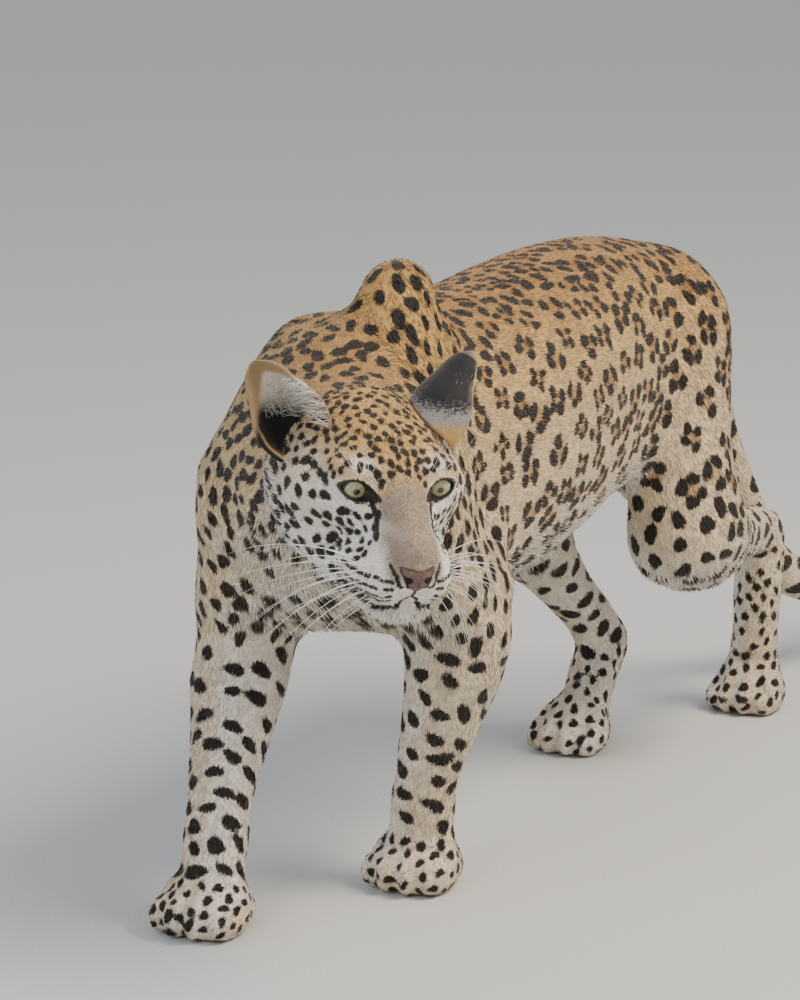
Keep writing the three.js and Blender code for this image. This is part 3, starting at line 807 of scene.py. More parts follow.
    def paint_face(self, shade: dict[str, np.ndarray]) -> np.ndarray:
        """Mixes the face's ground colour: gold crown and bridge, buff cheeks, white over and under the eyes.

        Args:
            shade: The palette in linear light.

        Returns:
            A colour for each vertex.
        """
        local = self.head.local(self.places)
        x, y, z = np.abs(local[:, 0]), local[:, 1], local[:, 2]
        crown = smoothstep(z, -8, 22) * smoothstep(y, 30, 5)
        face = towards(shade["cream"], shade["gold"], crown)
        bridge = smoothstep(x, 31, 19) * smoothstep(y, -2, 20) * smoothstep(z, -62, -48)
        face = towards(face, towards(shade["gold"], shade["bridge"], smoothstep(y, 4, 30)), 0.92 * bridge)
        cheek = smoothstep(x, 34, 70) * smoothstep(z, -60, -10) * smoothstep(y, 10, -50)
        face = towards(face, shade["buff"], 0.7 * cheek)
        brow = np.exp(-(((x - 34) / 13) ** 2 + ((z - 21) / 6) ** 2))
        under_eye = np.exp(-(((x - 37) / 16) ** 2 + ((z + 18) / 5) ** 2))
        return towards(face, shade["cream"], np.clip(brow + under_eye, 0, 1) * smoothstep(y, -40, 0))

    def plan_spots(self) -> None:
        """Sets how far apart the markings lie, where spots are small, and where the coat stays plain."""
        self.spacing = np.array([MARKINGS[zone].spacing for zone in ZONES])[self.zone] * MM
        local = self.head.local(self.places)
        x, y, z = np.abs(local[:, 0]), local[:, 1], local[:, 2]
        on_head = self.among(Zone.HEAD)
        height = self.places[:, 2]
        crown = on_head & (z > 4)
        self.spacing[crown] = self.crown_spacing
        self.spine = self.among(Zone.TRUNK) & (height > SPINE_LINE)
        self.spacing[self.spine] *= 0.9
        self.spacing[self.among(Zone.TRUNK, Zone.THIGH) & (height < BELLY_LINE)] = self.belly_spacing
        cheek = on_head & (y > 0) & (z < 0)
        self.spacing[cheek] = self.cheek_spacing
        self.small = crown | cheek
        # The bridge and the muzzle, round the eyes, and the lips
        self.plain = on_head & (((x < 23) & (y > 12)) | ((y > 36) & (z > -60)) | (y > 42))
        self.plain |= on_head & (np.hypot(x - 38.5, z) < 20) & (y > -22)
        self.plain |= on_head & (y > 4) & (z < -52)

    def scatter(self, rng: np.random.Generator) -> list[int]:
        """Chooses the vertices that carry a marking, in a random order.

        Args:
            rng: The markings' random numbers.

        Returns:
            Vertices, no two nearer than their spacing.
        """
        grid: dict[tuple, list[int]] = {}
        chosen = []
        steps = list(product((-1, 0, 1), repeat=3))
        for index in rng.permutation(len(self.places)):
            if self.plain[index]:
                continue
            place = self.places[index]
            key = tuple((place // self.grid_cell).astype(int))
            near = (j for step in steps for j in grid.get(tuple(k + s for k, s in zip(key, step)), ()))
            reach = self.spacing[index]
            gaps = ((self.spacing[j] + reach, self.places[j] - place) for j in near)
            if any(np.sum(offset ** 2) < (apart / 2) ** 2 for apart, offset in gaps):
                continue
            grid.setdefault(key, []).append(index)
            chosen.append(index)
        return chosen

    def spots(self) -> list[tuple]:
        """Scatters the markings over the skin.

        Returns:
            Spots as centre, direction of length, half width and half length in metres.
        """
        rng = np.random.default_rng(SEED)
        self.plan_spots()
        chosen = self.scatter(rng)
        log.info("%d marks", len(chosen))
        found = []
        self.rings = []
        for index in chosen:
            marking = MARKINGS[ZONES[self.zone[index]]]
            scale = rng.uniform(0.86, 1.16)
            half = marking.half_width * scale
            length = marking.half_length * scale * rng.uniform(0.9, 1.15)
            place, normal, lie = self.places[index], self.normals[index], self.lie[index]
            across = np.cross(normal, lie)
            if self.small[index]:
                half, length = half * 0.68, length * 0.74
            turn = rng.normal(0, 0.35) + (1.2 if marking is MARKINGS[Zone.LIMB] else 0)
            way = lie * math.cos(turn) + across * math.sin(turn)
            solid = place[2] < BELLY_LINE or normal[2] < -0.55
            if marking.ring and not solid:
                found += self.rosette(index, marking.ring * scale, half, rng)
                continue
            if marking.ring:
                half, length = half * 1.25, length * 1.25
            found.append((place, way, half * MM, length * MM))
        return found + self.face_marks()

    def rosette(self, index: int, ring: float, half: float, rng: np.random.Generator) -> list[tuple]:
        """Sets three or four dark arcs round a tan middle.

        Args:
            index: The vertex in its middle.
            ring: Radius in millimetres.
            half: Half width of an arc in millimetres.
            rng: The markings' random numbers.

        Returns:
            The arcs, as spots.
        """
        place, lie = self.places[index], self.lie[index]
        across = np.cross(self.normals[index], lie)
        stretch = 1.3 if self.spine[index] else 1.05
        count = rng.integers(3, 5)
        start = rng.uniform(0, 2 * math.pi)
        self.rings.append((place, ring * 0.85 * MM))
        arcs = []
        for k in range(count):
            angle = start + k * 2 * math.pi / count + rng.normal(0, 0.14)
            out = lie * (math.cos(angle) * ring * stretch) + across * (math.sin(angle) * ring * 0.88)
            along = -lie * math.sin(angle) + across * math.cos(angle)
            arc = ring * math.pi / count * rng.uniform(0.62, 0.98)
            arcs.append((place + out * MM, along, half * rng.uniform(0.85, 1.12) * MM, arc * MM))
        return arcs

    def face_marks(self) -> list[tuple]:
        """Lays the marks that every leopard's face has: tear lines, nostril wings, lips, muzzle rows.

        Returns:
            Small round spots along each line.
        """
        # Each line: its points, its half width at the start and at the end, and whether it is dashed
        lines = [([(0, 72, -60), (0, 71, -79)], 1.7, 1.7, False)]
        for side in (1, -1):
            lip = [(0, 70, -78), (13, 66, -86), (26, 50, -90), (35, 28, -88), (41, 8, -83), (45, -10, -76)]
            tear = [(24, 3, -5), (20, 13, -12), (17.5, 23, -22), (16.5, 35, -34)]
            wing = [(12, 72, -57), (17, 70, -50), (21, 64, -43)]
            sided = [(lip, 2.0, 2.8, False), (tear, 4.0, 2.0, False), (wing, 2.4, 1.7, False)]
            for row in range(5):
                drop = 7.2 * row
                dashes = [(19, 69 - 2 * row, -56 - 0.72 * drop), (31, 54 - row, -58 - 0.85 * drop),
                          (40, 34, -60 - drop), (46, 14, -60 - 1.05 * drop)]
                sided.append((dashes, 1.9, 2.3, True))
            lines += [([(side * x, y, z) for x, y, z in points], *rest) for points, *rest in sided]
        marks = []
        for points, first, last, dashed in lines:
            count = int(sum(math.dist(a, b) for a, b in zip(points, points[1:])) / self.line_step) + 2
            for k in range(count):
                t = k / (count - 1)
                if dashed and k % 7 in (5, 6):
                    continue
                at = t * (len(points) - 1)
                low = min(int(at), len(points) - 2)
                place = [a + (b - a) * (at - low) for a, b in zip(points[low], points[low + 1])]
                radius = (first + (last - first) * t) * MM
                marks.append((self.head.place(*place), self.head.up, radius, radius))
        return marks

    def mark(self) -> None:
        """Stores each vertex's distance to the nearest spot's edge in millimetres, negative inside."""
        surface = tree_of(self.mesh)
        self.laid = []
        rng = np.random.default_rng(SEED + 5)
        for place, way, half, length in self.spots():
            centre, normal, _, _ = surface.find_nearest(Vector(place))
            centre, normal = np.array(centre), np.array(normal)
            way = way - normal * (way @ normal)
            way /= max(np.linalg.norm(way), 1e-6)
            # Depth and turn of the edge's two waves, which make a spot uneven
            wave = tuple(rng.uniform(*span) for span in ((0.05, 0.17), (0, 6.3), (0.04, 0.12), (0, 6.3)))
            if half <= self.smooth_below:
                wave = (0, 0, 0, 0)
            self.laid.append((centre, way, np.cross(normal, way), half, length, wave))
        self.distance, tan = self.field(self.places)
        self.ground = towards(self.ground, np.array(colour(PALETTE.tan)[:3]), 0.62 * tan)

    def field(self, points: np.ndarray) -> tuple[np.ndarray, np.ndarray]:
        """Measures the markings at any points on the skin.

        Args:
            points: Places in metres, shape (n, 3).

        Returns:
            Distance to the nearest spot's edge in millimetres, and how much each point lies in a rosette.
        """
        tree = KDTree(len(points))
        for index, place in enumerate(points):
            tree.insert(place, index)
        tree.balance()
        distance = np.full(len(points), self.far)
        for centre, way, across, half, length, wave in self.laid:
            # 1.3 takes in the waves of the edge, and 5 mm the coat around it
            near = [index for _, index, _ in tree.find_range(centre, 1.3 * max(length, half) + 5 * MM)]
            if not near:
                continue
            offset = points[near] - centre
            u, v = offset @ way / length, offset @ across / half
            angle = np.arctan2(v, u)
            edge = 1 + wave[0] * np.sin(2 * angle + wave[1]) + wave[2] * np.sin(3 * angle + wave[3])
            # Skin that lies behind the spot, as inside a fold, isn't coloured by it
            flat = np.outer(offset @ way, way)
            deep = np.linalg.norm(offset - flat - np.outer(offset @ across, across), axis=1)
            gap = (np.hypot(u, v) - edge) * min(half, length) / MM + 0.4 * np.maximum(deep / MM - 6, 0)
            distance[near] = np.minimum(distance[near], gap)
        tan = np.zeros(len(points))
        for place, radius in self.rings:
            near = [index for _, index, _ in tree.find_range(place, radius * 1.2)]
            if near:
                gap = np.linalg.norm(points[near] - place, axis=1)
                tan[near] = np.maximum(tan[near], smoothstep(gap, radius * 1.2, radius * 0.75))
        return np.minimum(distance, self.blacken(points)), tan

    def blacken(self, points: np.ndarray) -> np.ndarray:
        """Measures the dark rims of the eyes and the dark skin under the nose leather.

        Args:
            points: Places in metres, shape (n, 3).

        Returns:
            Distance to the nearer of them in millimetres, negative inside.
        """
        x, y, z = self.head.local(points).T
        x = np.abs(x)
        rim = (self.opening(x - EYE_OUT, z) - 1.0) * 9 - 2.0
        rim[(y < -18) | (np.hypot(x - EYE_OUT, z) > 30)] = self.far
        under = np.maximum(np.maximum(x - 13 - 0.4 * (z + 50), 56 - y), np.maximum(z + 42, -60 - z))
        return np.minimum(rim, under)

    def store(self) -> None:
        """Writes the attributes that the material reads."""
        store_values(self.mesh, "mark", self.distance)
        store_values(self.mesh, "down", self.down)
        store_colours(self.mesh, "ground", self.ground)
        self.mesh.shade_smooth()

    @staticmethod
    def unwrap(piece: bpy.types.Object) -> None:
        """Unwraps the skin's own shape into a map that the tufts share."""
        bpy.context.view_layer.objects.active = piece
        piece.select_set(True)
        bpy.ops.object.mode_set(mode="EDIT")
        bpy.ops.mesh.select_all(action="SELECT")
        bpy.ops.uv.smart_project(angle_limit=math.radians(72), island_margin=0.002)
        bpy.ops.object.mode_set(mode="OBJECT")
        piece.select_set(False)
        piece.data.uv_layers[0].name = "OFBake"


# The coat


@dataclass
class Coat:
    """Tufts of solid mesh over the skin, shared out over a few pieces."""

    skin: Skin
    piece: bpy.types.Object
    count: int = 126_000
    share: int = 18_000

    def build(self) -> list[bpy.types.Object]:
        """Roots the tufts and makes the pieces.

        Returns:
            The coat's pieces.
        """
        mesh = self.piece.data
        mesh.calc_loop_triangles()
        triangles = read_rows(mesh.loop_triangles, "vertices", 3, np.int64)
        loops = read_rows(mesh.loop_triangles, "loops", 3, np.int64)
        uv = read_rows(mesh.uv_layers["OFBake"].data, "uv", 2)
        rng = np.random.default_rng(SEED + 1)
        p = self.skin.places[triangles]
        area = np.linalg.norm(np.cross(p[:, 1] - p[:, 0], p[:, 2] - p[:, 0]), axis=1) / 2
        weight = area * (1 + 1.1 * self.skin.face[triangles[:, 0]] + 0.5 * self.skin.foot[triangles[:, 0]])
        weight[self.bare()[triangles].any(axis=1)] = 0
        pick = rng.choice(len(triangles), self.count, p=weight / weight.sum())
        shares = rng.dirichlet((1, 1, 1), self.count)

        def blend(values: np.ndarray) -> np.ndarray:
            """Mixes the values at a triangle's corners for each root."""
            return np.einsum("ij,ijk->ik", shares, values)

        corner = triangles[pick]
        roots = blend(self.skin.places[corner])
        normals = blend(self.skin.normals[corner])
        normals /= np.linalg.norm(normals, axis=1, keepdims=True)
        lie = blend(self.skin.lie[corner]) + rng.normal(0, 0.16, (self.count, 3))
        lie -= normals * np.sum(lie * normals, axis=1, keepdims=True)
        lie /= np.linalg.norm(lie, axis=1, keepdims=True)
        ground = blend(self.skin.ground[corner])
        face = self.skin.face[corner[:, 0]]
        foot = self.skin.foot[corner[:, 0]]
        length, lift = self.lengths(roots, normals, face, foot)
        length = length * rng.uniform(0.75, 1.25, self.count)
        # A tuft is as dark as the skin under each of its points, give or take a hair's breadth
        stray = rng.normal(0, 0.5, self.count)
        tone = ground * rng.uniform(0.86, 1.12, (self.count, 1))
        black = np.array(colour(PALETTE.black)[:3]) * 1.15
        tint = []
        for part in (0.15, 0.6, 0.9):
            mark, _ = self.skin.field(roots + lie * (length * part)[:, None])
            dark = smoothstep(mark + stray, 0.7, -0.5)[:, None]
            tint.append(tone + (black - tone) * dark)
        tint = np.stack(tint, axis=1)[:, [0, 0, 0, 1, 1, 1, 2]]
        root_uv = blend(uv[loops[pick]])
        pieces = []
        for number, start in enumerate(range(0, self.count, self.share)):
            part = slice(start, start + self.share)
            pieces.append(self.make(f"coat_{number + 1}", roots[part], normals[part], lie[part], length[part],
                                    lift[part], tint[part], root_uv[part]))
        return pieces

    def bare(self) -> np.ndarray:
        """Finds the vertices that carry no fur: eyes, nose and the soles."""
        x, y, z = self.skin.head.local(self.skin.places).T
        x = np.abs(x)
        eye = np.hypot((x - EYE_OUT) / 16.5, z / 9) < 1
        eye |= self.skin.opening(x - EYE_OUT, z) < 1.35
        nose = (x < 18.5) & (y > 58) & (z > -62) & (z < -39)
        return (eye & (y > -20)) | nose | (self.skin.places[:, 2] < SOLE)

    def lengths(self, roots: np.ndarray, normals: np.ndarray, face: np.ndarray,
                foot: np.ndarray) -> tuple[np.ndarray, np.ndarray]:
        """Works out the tufts' lengths: short on face and feet, longer on belly, chin and cheeks.

        Args:
            roots: Places of the roots.
            normals: The skin's normals there.
            face: How much of the face each root is in.
            foot: How much of a foot each root is in.

        Returns:
            Each tuft's length and how far its tip lifts off the skin, in metres.
        """
        x, y, z = self.skin.head.local(roots).T
        length = 8.2 * (1 - 0.48 * face) * (1 - 0.4 * foot)
        lift = 1.0 * (1 - 0.4 * face) * (1 - 0.3 * foot)
        belly = smoothstep(-normals[:, 2], 0.3, 0.8) * smoothstep(roots[:, 2], 0.16, 0.24) * (1 - face)
        chin = face * smoothstep(z, -76, -90)
        length = length * (1 - 0.4 * face * smoothstep(y, 15, 40))
        cheek = face * smoothstep(y, -50, -90) * smoothstep(z, 0, -30)
        length = length + 12 * belly + 9 * chin + 8 * cheek
        lift = lift + 5 * belly + 3 * chin + 2 * cheek
        return length * MM, lift * MM

    @staticmethod
    def make(name: str, roots: np.ndarray, normals: np.ndarray, lie: np.ndarray, length: np.ndarray,
             lift: np.ndarray, tint: np.ndarray, root_uv: np.ndarray) -> bpy.types.Object:
        """Makes one piece: each tuft is a closed, flat, tapering lock of seven points.

        Args:
            name: Name of the piece.
            roots: Places of the roots.
            normals: The skin's normals there.
            lie: Directions of the hair along the skin.
            length: Lengths of the tufts.
            lift: How far the tips lift off the skin.
            tint: A colour for each of a tuft's points.
            root_uv: The roots' places on the skin's map.

        Returns:
            The piece, without its material.
        """
        across = np.cross(normals, lie)
        width = (length * 0.045 + 0.34 * MM)[:, None]
        thick = 0.4 * MM
        base = roots - normals * (1.1 * MM)
        waist = roots + lie * (length * 0.5)[:, None] + normals * (lift * 0.55)[:, None]
        tip = roots + lie * length[:, None] + normals * lift[:, None]
        points = np.stack([
            base - across * width, base + across * width, base + normals * thick,
            waist - across * width * 0.72, waist + across * width * 0.72, waist + normals * thick,
            tip], axis=1)
        pattern = np.array([
            [0, 1, 2], [0, 3, 1], [1, 3, 4], [1, 4, 2], [2, 4, 5], [2, 5, 0], [0, 5, 3],
            [3, 6, 4], [4, 6, 5], [5, 6, 3]])
        firsts = np.arange(len(roots)) * points.shape[1]
        faces = (pattern[None] + firsts[:, None, None]).reshape(-1, 3)
        mesh = bpy.data.meshes.new(name)
        mesh.from_pydata(points.reshape(-1, 3), [], faces)
        # The tips catch a little more light
        shade = tint.copy()
        shade[:, -1] *= 1.08
        store_colours(mesh, "tint", shade.reshape(-1, 3))
        # On the map a tuft is a small patch round its root
        offset = np.array([[-1, -1], [1, -1], [0, -1], [-0.7, 0], [0.7, 0], [0, 0], [0, 1]]) * 0.0015
        spread = (root_uv[:, None] + offset[None]).reshape(-1, 2)
        uv_layer = mesh.uv_layers.new(name="OFBake")
        uv_layer.data.foreach_set("uv", spread[faces.ravel()].astype(np.float32).ravel())
        mesh.shade_smooth()
        return place_piece(name, mesh)


def grow(name: str, strands: list[tuple], sides: int = 4, steps: int = 7) -> bpy.types.Object:
    """Makes thin tapering hairs as one mesh.

    Args:
        name: Name of the piece.
        strands: Each a root, a middle, a tip and a radius at the root, in metres.
        sides: Sides of a hair.
        steps: Rings of points along a hair.

    Returns:
        The piece.
    """
    hairs = bmesh.new()
    circle = [Vector((math.cos(2 * math.pi * i / sides), math.sin(2 * math.pi * i / sides), 0))
              for i in range(sides)]
    for root, middle, tip, radius in strands:
        rings = []
        for k in range(steps):
            t = k / steps
            place = Vector(root) * (1 - t) ** 2 + Vector(middle) * 2 * t * (1 - t) + Vector(tip) * t * t
            way = (Vector(middle) - Vector(root)) * (1 - t) + (Vector(tip) - Vector(middle)) * t
            turn = way.to_track_quat("Z", "Y").to_matrix()
            spokes = [turn @ spoke * radius * (1 - 0.85 * t) for spoke in circle]
            rings.append([hairs.verts.new(place + spoke) for spoke in spokes])
        point = hairs.verts.new(Vector(tip))
        for below, above in zip(rings, rings[1:]):
            for i in range(sides):
                hairs.faces.new((below[i], below[(i + 1) % sides], above[(i + 1) % sides], above[i]))
        for i in range(sides):
            hairs.faces.new((rings[-1][i], rings[-1][(i + 1) % sides], point))
        hairs.faces.new(rings[0][::-1])
    mesh = to_mesh(hairs, name)
    mesh.shade_smooth()
    return place_piece(name, mesh)


# The face's parts


@dataclass
class Eye:
    """A wet ball with a pale iris and a small round pupil."""

    side: str
    head: HeadFrame
    radius: float = BALL_RADIUS * MM

    def build(self) -> bpy.types.Object:
        """Makes the eye.

        Returns:
            The ball, with its material.
        """
        centre = box_middle(f"eye_{self.side}")
        out = 1 if self.side == "left" else -1
        gaze = self.head.ahead + 0.02 * out * self.head.left - 0.06 * self.head.up
        gaze = gaze / np.linalg.norm(gaze)
        ball = bmesh.new()
        turn = Vector(gaze).to_track_quat("Z", "Y").to_matrix().to_4x4()
        bmesh.ops.create_uvsphere(ball, u_segments=48, v_segments=32, radius=self.radius,
                                  matrix=Matrix.Translation(Vector(centre)) @ turn)
        mesh = to_mesh(ball, f"eyeball_{self.side}")
        offset = read_rows(mesh.vertices, "co") - centre
        axial = offset @ gaze
        away = np.sqrt(np.maximum(np.sum(offset ** 2, axis=1) - axial ** 2, 0)) / MM
        # The back of the ball counts as far from the pupil
        store_values(mesh, "from_pupil", away + 40 * (axial < 0))
        mesh.shade_smooth()
        mesh.materials.append(WetIris().build())
        return place_piece(f"eyeball_{self.side}", mesh)


@dataclass
class Lids:
    """The dark wet rim around one eye, in millimetres."""

    side: str
    head: HeadFrame
    radius: float = 17.5
    thick: float = 1.15
    steps: int = 64
    sides: int = 8

    def path(self) -> list[Vector]:
        """Follows the almond opening over the ball.

        Returns:
            Places round the eye.
        """
        out = 1 if self.side == "left" else -1
        path = []
        for k in range(self.steps):
            angle = 2 * math.pi * k / self.steps
            reach = 8.0
            # Nears the rim step by step, where the opening measures 1
            for _ in range(24):
                x, z = reach * math.cos(angle), reach * math.sin(angle)
                reach /= max(float(Skin.opening(np.array(x), np.array(z))), 0.05) ** 0.8
            x, z = reach * math.cos(angle) * 1.02, reach * math.sin(angle) * 1.03
            y = math.sqrt(max(self.radius ** 2 - x * x - z * z, 4.0))
            path.append(Vector(self.head.place(out * (EYE_OUT + x), y - EYE_DEPTH, z)))
        return path

    def build(self) -> bpy.types.Object:
        """Makes the rim as a closed round cord that lies on the eyeball.

        Returns:
            The rim, with its material.
        """
        path = self.path()
        cord = bmesh.new()
        rings = []
        for k, place in enumerate(path):
            way = (path[(k + 1) % self.steps] - path[k - 1]).normalized()
            side = way.cross(Vector(self.head.ahead)).normalized()
            front = side.cross(way)
            angles = [2 * math.pi * i / self.sides for i in range(self.sides)]
            spokes = [side * math.cos(angle) + front * math.sin(angle) for angle in angles]
            rings.append([cord.verts.new(place + spoke * self.thick * MM) for spoke in spokes])
        for k in range(self.steps):
            a, b = rings[k - 1], rings[k]
            for i in range(self.sides):
                j = (i + 1) % self.sides
                cord.faces.new((a[i], a[j], b[j], b[i]))
        bmesh.ops.recalc_face_normals(cord, faces=cord.faces)
        mesh = to_mesh(cord, f"lids_{self.side}")
        mesh.shade_smooth()
        moist = Grained(f"lid_skin_{self.side}", colour("0d0a09"), colour("241b18"), 0.35, 1.5, 3.0)
        mesh.materials.append(moist.build())
        return place_piece(f"lids_{self.side}", mesh)


@dataclass
class Nose:
    """The nose leather: wide above, narrow below, laid over the tip of the snout with two nostrils."""

    head: HeadFrame
    surface: BVHTree
    columns: int = 61
    rows: int = 49
    thickness: float = 2 * MM

    def build(self) -> bpy.types.Object:
        """Makes the leather as a closed shell over the skin.

        Returns:
            The nose.
        """
        u, v = np.meshgrid(np.linspace(-1, 1, self.columns), np.linspace(0, 1, self.rows))
        half = np.interp(v, (0, 0.08, 0.3, 0.55, 0.8, 1), (14.6, 17.4, 16.4, 12.6, 7.2, 3.0))
        x, z = u * half, -40.5 - 22.5 * v + 1.6 * (u * half / 17) ** 2 * (1 - v)
        side = np.abs(x)
        fade = np.clip(1 - np.abs(u) ** 8, 0, 1) * np.clip(1 - np.abs(2 * v - 1) ** 8, 0, 1)
        hole = np.exp(-((side - 8.8) / 3.1) ** 2 - ((z + 51.5) / 2.3) ** 2)
        wing = np.exp(-((side - 13.2) / 3.2) ** 2 - ((z + 49 - 0.5 * (side - 13)) / 1.4) ** 2)
        split = np.exp(-(x / 0.8) ** 2) * smoothstep(z, -50, -54)
        rise = 2.1 * fade - 0.9 - 5.0 * hole - 2.2 * wing - 0.8 * split
        verts = []
        way = Vector(-self.head.ahead)
        # Every point is dropped on the skin from ahead, and then raised off it
        for a, b, c in zip(x.ravel(), z.ravel(), rise.ravel()):
            start = Vector(self.head.place(a, 110, b))
            hit = self.surface.ray_cast(start, way)[0] or start + way * 40 * MM
            verts.append(hit - way * c * MM)
        corners = [r * self.columns + k for r in range(self.rows - 1) for k in range(self.columns - 1)]
        faces = [(c, c + 1, c + 1 + self.columns, c + self.columns) for c in corners]
        mesh = bpy.data.meshes.new("nose_leather")
        mesh.from_pydata(verts, [], faces)
        sheet = bmesh.new()
        sheet.from_mesh(mesh)
        every_way = {"use_axis_x": True, "use_axis_y": True, "use_axis_z": True}
        bmesh.ops.smooth_vert(sheet, verts=sheet.verts, factor=0.5, **every_way)
        bmesh.ops.recalc_face_normals(sheet, faces=sheet.faces)
        if sum(face.normal.dot(way) for face in sheet.faces) > 0:
            bmesh.ops.reverse_faces(sheet, faces=sheet.faces)
        sheet.to_mesh(mesh)
        sheet.free()
        # The dark rim and middle line are the leather's own colour; the dark of the nostrils and their side
        # slits is painted shade
        edge = np.maximum.reduce([hole * 1.6, wing * 1.3, split * 0.8, smoothstep(np.abs(u), 0.72, 0.95),
                                  smoothstep(v, 0.16, 0.03), smoothstep(v, 0.86, 0.97)])
        store_values(mesh, "edge", np.clip(edge, 0, 1))
        mesh.shade_smooth()
        mesh.materials.append(NoseLeather().build())
        piece = place_piece("nose_leather", mesh)
        shell = piece.modifiers.new("shell", "SOLIDIFY")
        shell.thickness = self.thickness
        shell.offset = -1
        return piece


@dataclass
class Ear:
    """One ear: its cup smoothed, black behind with a pale patch, pale hairs inside."""

    side: str
    head: HeadFrame
    voxel: float = 1.3 * MM
    soften_rounds: int = 12
    hair_count: int = 300
    hair_radius: float = 0.32 * MM

    def build(self) -> bpy.types.Object:
        """Makes the ear.

        Returns:
            The ear, with its colours.
        """
        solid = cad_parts[f"ear_{self.side}"].data.copy()
        solid.materials.clear()
        piece = place_piece(f"cup_{self.side}", solid)
        piece.data = wrapped(piece, self.voxel, self.soften_rounds)
        bpy.data.meshes.remove(solid)
        piece.data.name = f"cup_{self.side}"
        self.paint(piece.data)
        piece.data.shade_smooth()
        piece.data.materials.append(Fur().on_tufts(f"fur_ear_{self.side}"))
        return piece

    def paint(self, mesh: bpy.types.Mesh) -> None:
        """Stores the ear's colours: a vertex that faces the way the cup opens is inside it."""
        places = read_rows(mesh.vertices, "co")
        normals = read_rows(mesh.vertex_normals, "vector")
        middle = places.mean(axis=0)
        opening = {"right": (-0.3, 0.93, 0.1), "left": (0.88, -0.45, 0.1)}[self.side]
        way = self.head.place(*opening) - self.head.eyes
        way /= np.linalg.norm(way)
        height = (places - middle) @ self.head.up
        height = (height - height.min()) / (height.max() - height.min())
        inside = smoothstep(normals @ way, -0.1, 0.4)
        # The hollow tone is near black: it is painted shade for the deep lower part of the cup's inside
        tones = {"back": "1d1a1c", "base": PALETTE.gold, "grey": "8f8a84", "rim": "9c815f", "pale": "cfc5b4",
                 "hollow": "14100e"}
        pick = {key: np.array(colour(text)[:3]) for key, text in tones.items()}
        rng = np.random.default_rng(SEED + 12)
        ragged = height + rng.normal(0, 0.045, len(height))
        outer = towards(pick["base"], pick["grey"], smoothstep(ragged, 0.24, 0.34))
        outer = towards(outer, pick["back"], smoothstep(ragged, 0.42, 0.54))
        sideways = np.abs((places - middle) @ np.cross(way, self.head.up))
        rim = smoothstep(sideways, 0.017, 0.023) + smoothstep(height, 0.8, 0.88)
        # Painted shade: inside the cup the colour is near black low down and fades to pale hair above
        inner = towards(pick["hollow"], pick["pale"], smoothstep(height, 0.38, 0.6))
        inner = towards(inner, pick["rim"], np.clip(rim, 0, 1))
        store_colours(mesh, "tint", towards(outer, inner, inside))
        self.places, self.inside, self.height, self.way = places, inside, height, way

    def hairs(self) -> bpy.types.Object:
        """Grows long pale hairs that cross the cup from its front edge.

        Returns:
            The hairs as one piece, without their material.
        """
        rng = np.random.default_rng(SEED + (3 if self.side == "left" else 4))
        middle = self.places.mean(axis=0)
        inward = -self.head.left if self.side == "right" else self.head.left
        front = (self.places - middle) @ inward < 0.012
        middle_part = (self.height > 0.34) & (self.height < 0.84)
        edge = np.flatnonzero((self.inside > 0.5) & middle_part & front)
        strands = []
        for index in rng.choice(edge, self.hair_count):
            root = self.places[index]
            way = ((middle - root) * rng.uniform(0.1, 0.5) + inward * rng.uniform(0.003, 0.01)
                   + self.head.up * rng.uniform(-0.004, 0.012) + self.way * rng.uniform(0.004, 0.008))
            tip = root + way
            bend = root + way * 0.5 + self.way * 0.003
            strands.append((root, bend, tip, self.hair_radius))
        return grow(f"ear_hairs_{self.side}", strands, 3)


@dataclass
class Whiskers:
    """White whiskers in four rows on each side of the muzzle, and a few over the eyes."""

    head: HeadFrame
    surface: BVHTree
    rows: int = 4
    in_row: int = 5
    over_eye: int = 3
    radius: float = 0.5 * MM
    brow_radius: float = 0.28 * MM

    def build(self) -> bpy.types.Object:
        """Makes all whiskers.

        Returns:
            The whiskers as one piece.
        """
        rng = np.random.default_rng(SEED + 9)
        strands = []
        for side in (1, -1):
            for row in range(self.rows):
                for j in range(self.in_row):
                    step = j / (self.in_row - 1)
                    inner = self.head.place(side * (18 + 24 * step), 58 - 34 * step, -52 - 8.5 * row)
                    out = self.head.left * side * 0.8 - self.head.ahead * 0.1
                    hit = self.surface.ray_cast(Vector(inner + out * 0.05), Vector(-out))[0]
                    root = np.array(hit if hit is not None else inner)
                    length = (70 + 45 * step + rng.uniform(-12, 14)) * MM
                    way = (self.head.left * side * (0.8 - 0.06 * row) - self.head.ahead * (0.2 + 0.35 * step)
                           + self.head.up * (0.1 - 0.22 * row + rng.normal(0, 0.07)))
                    way /= np.linalg.norm(way)
                    middle = root + way * length * 0.5
                    tip = (root + way * length * 0.86 - self.head.up * length * rng.uniform(0.28, 0.5)
                           - self.head.ahead * length * rng.uniform(0.1, 0.2))
                    strands.append((root - way * MM, middle, tip, self.radius))
            for j in range(self.over_eye):
                over = Vector(self.head.place(side * (30 + 6 * j), 4, 20))
                root = np.array(self.surface.find_nearest(over)[0])
                way = self.head.up * 0.9 + self.head.left * side * (0.2 + 0.25 * j) + self.head.ahead * 0.25
                tip = root + way * 0.036 - self.head.ahead * 0.008
                strands.append((root, root + way * 0.02, tip, self.brow_radius))
        return grow("whiskers", strands)


# The room


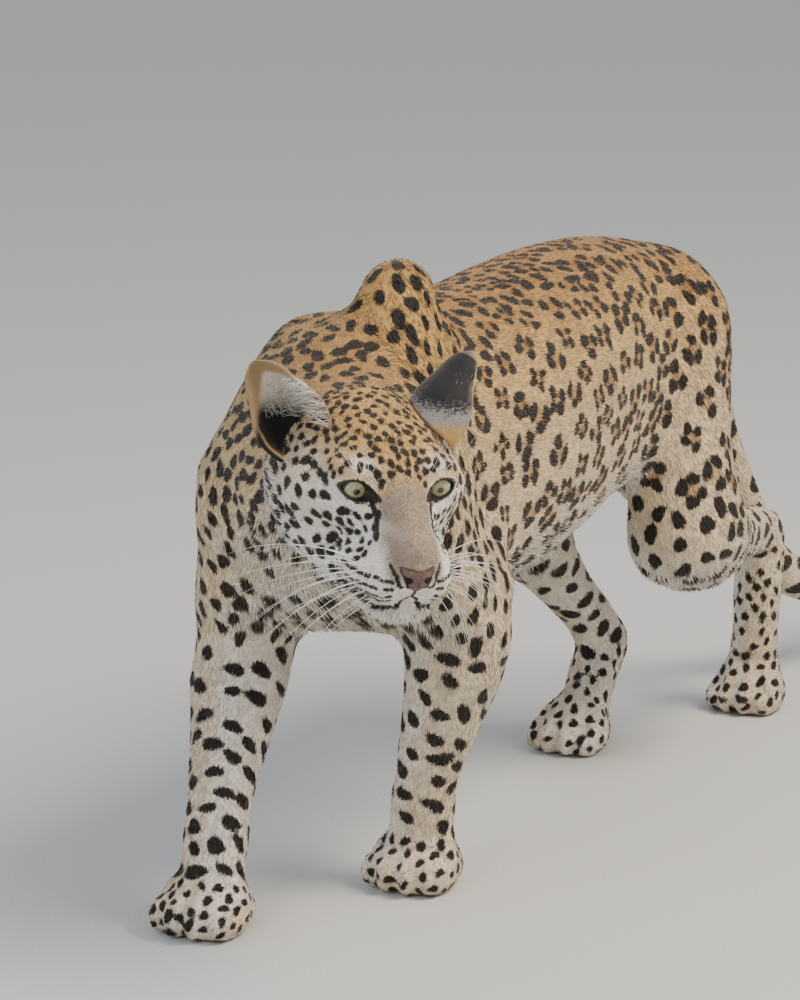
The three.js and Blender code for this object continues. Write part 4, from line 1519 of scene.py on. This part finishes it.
@dataclass(frozen=True)
class Camera:
    """The photo's viewpoint: turn and rise in degrees, distance in metres, lens and the aim from the eyes."""

    azimuth: float = 30.24
    elevation: float = 12.57
    distance: float = 4.5
    lens: float = 169.45
    frame_side: float = 36
    aim: tuple = (-0.208, 0.361, -0.103)

    def build(self, head: HeadFrame) -> None:
        """Places the camera before the head."""
        turn, rise = math.radians(self.azimuth), math.radians(self.elevation)
        back = Vector((math.sin(turn) * math.cos(rise), -math.cos(turn) * math.cos(rise), math.sin(rise)))
        data = bpy.data.cameras.new("camera")
        data.lens = self.lens
        data.sensor_width = self.frame_side
        data.clip_end = 60
        camera = bpy.data.objects.new("camera", data)
        camera.location = Vector(head.eyes) + Vector(self.aim) + back * self.distance
        camera.rotation_euler = (-back).to_track_quat("-Z", "Y").to_euler()
        bpy.context.collection.objects.link(camera)
        bpy.context.scene.camera = camera


@dataclass(frozen=True)
class Lamp:
    """A soft square lamp that looks at the animal's middle: place and side in metres, power in watts."""

    name: str
    place: tuple
    size: float
    power: float
    tone: str
    aim: tuple = (0, -0.1, 0.35)

    def build(self) -> None:
        """Hangs the lamp."""
        data = bpy.data.lights.new(self.name, "AREA")
        data.size = self.size
        data.energy = self.power
        data.color = colour(self.tone)[:3]
        lamp = bpy.data.objects.new(self.name, data)
        lamp.location = self.place
        lamp.rotation_euler = (Vector(self.aim) - Vector(self.place)).to_track_quat("-Z", "Y").to_euler()
        bpy.context.collection.objects.link(lamp)


LAMPS = (
    Lamp("key", (2.1, 0.1, 3.2), 1.8, 165, "fff4e4"),
    Lamp("fill", (-2.6, -2.6, 1.7), 3.0, 30, "cfe0ff"),
    Lamp("front", (0.1, -4.4, 2.9), 1.7, 50, "f6f6ff"),
)


def light_room() -> None:
    """Makes a plain pale floor and soft studio light: a broad warm key, a cool fill and a front lamp."""
    floor = bmesh.new()
    bmesh.ops.create_grid(floor, x_segments=1, y_segments=1, size=14)
    stage = place_piece("floor", to_mesh(floor, "floor"))
    stage.data.materials.append(Grained.shaded("floor_paper", "cfcdc8", 0.9).build())
    world = bpy.data.worlds.new("studio")
    world.use_nodes = True
    sky = world.node_tree.nodes["Background"]
    sky.inputs[0].default_value = colour("dfe6ef")
    sky.inputs[1].default_value = 0.8
    bpy.context.scene.world = world
    for lamp in LAMPS:
        lamp.build()


def main() -> None:
    """Builds the dressed leopard."""
    logging.basicConfig(level=logging.INFO, format="%(message)s")
    head = HeadFrame.measure()
    Camera().build(head)
    light_room()
    skin = Skin(head)
    hide = skin.build()
    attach(hide, "root")
    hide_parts(*[name for name in skin.flesh if name != "nose"])
    log.info("skin: %d vertices", len(hide.data.vertices))
    surface = tree_of(hide.data)
    tuft_fur = Fur().on_tufts("fur_tufts")
    for piece in Coat(skin, hide).build():
        piece.data.materials.append(tuft_fur)
        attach(piece, "root")
    pale_hair = Grained.shaded("hair_pale", "efebe2", 0.5).build()
    for side in ("left", "right"):
        ball = Eye(side, head).build()
        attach(ball, "root")
        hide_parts(f"eye_{side}")
        rim = Lids(side, head).build()
        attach(rim, "root")
        ear = Ear(side, head)
        cup = ear.build()
        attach(cup, "root")
        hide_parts(f"ear_{side}")
        hairs = ear.hairs()
        hairs.data.materials.append(pale_hair)
        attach(hairs, "root")
    nose = Nose(head, surface).build()
    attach(nose, "root")
    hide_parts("nose")
    whiskers = Whiskers(head, surface).build()
    whiskers.data.materials.append(pale_hair)
    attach(whiskers, "root")


if __name__ == "__main__":
    main()
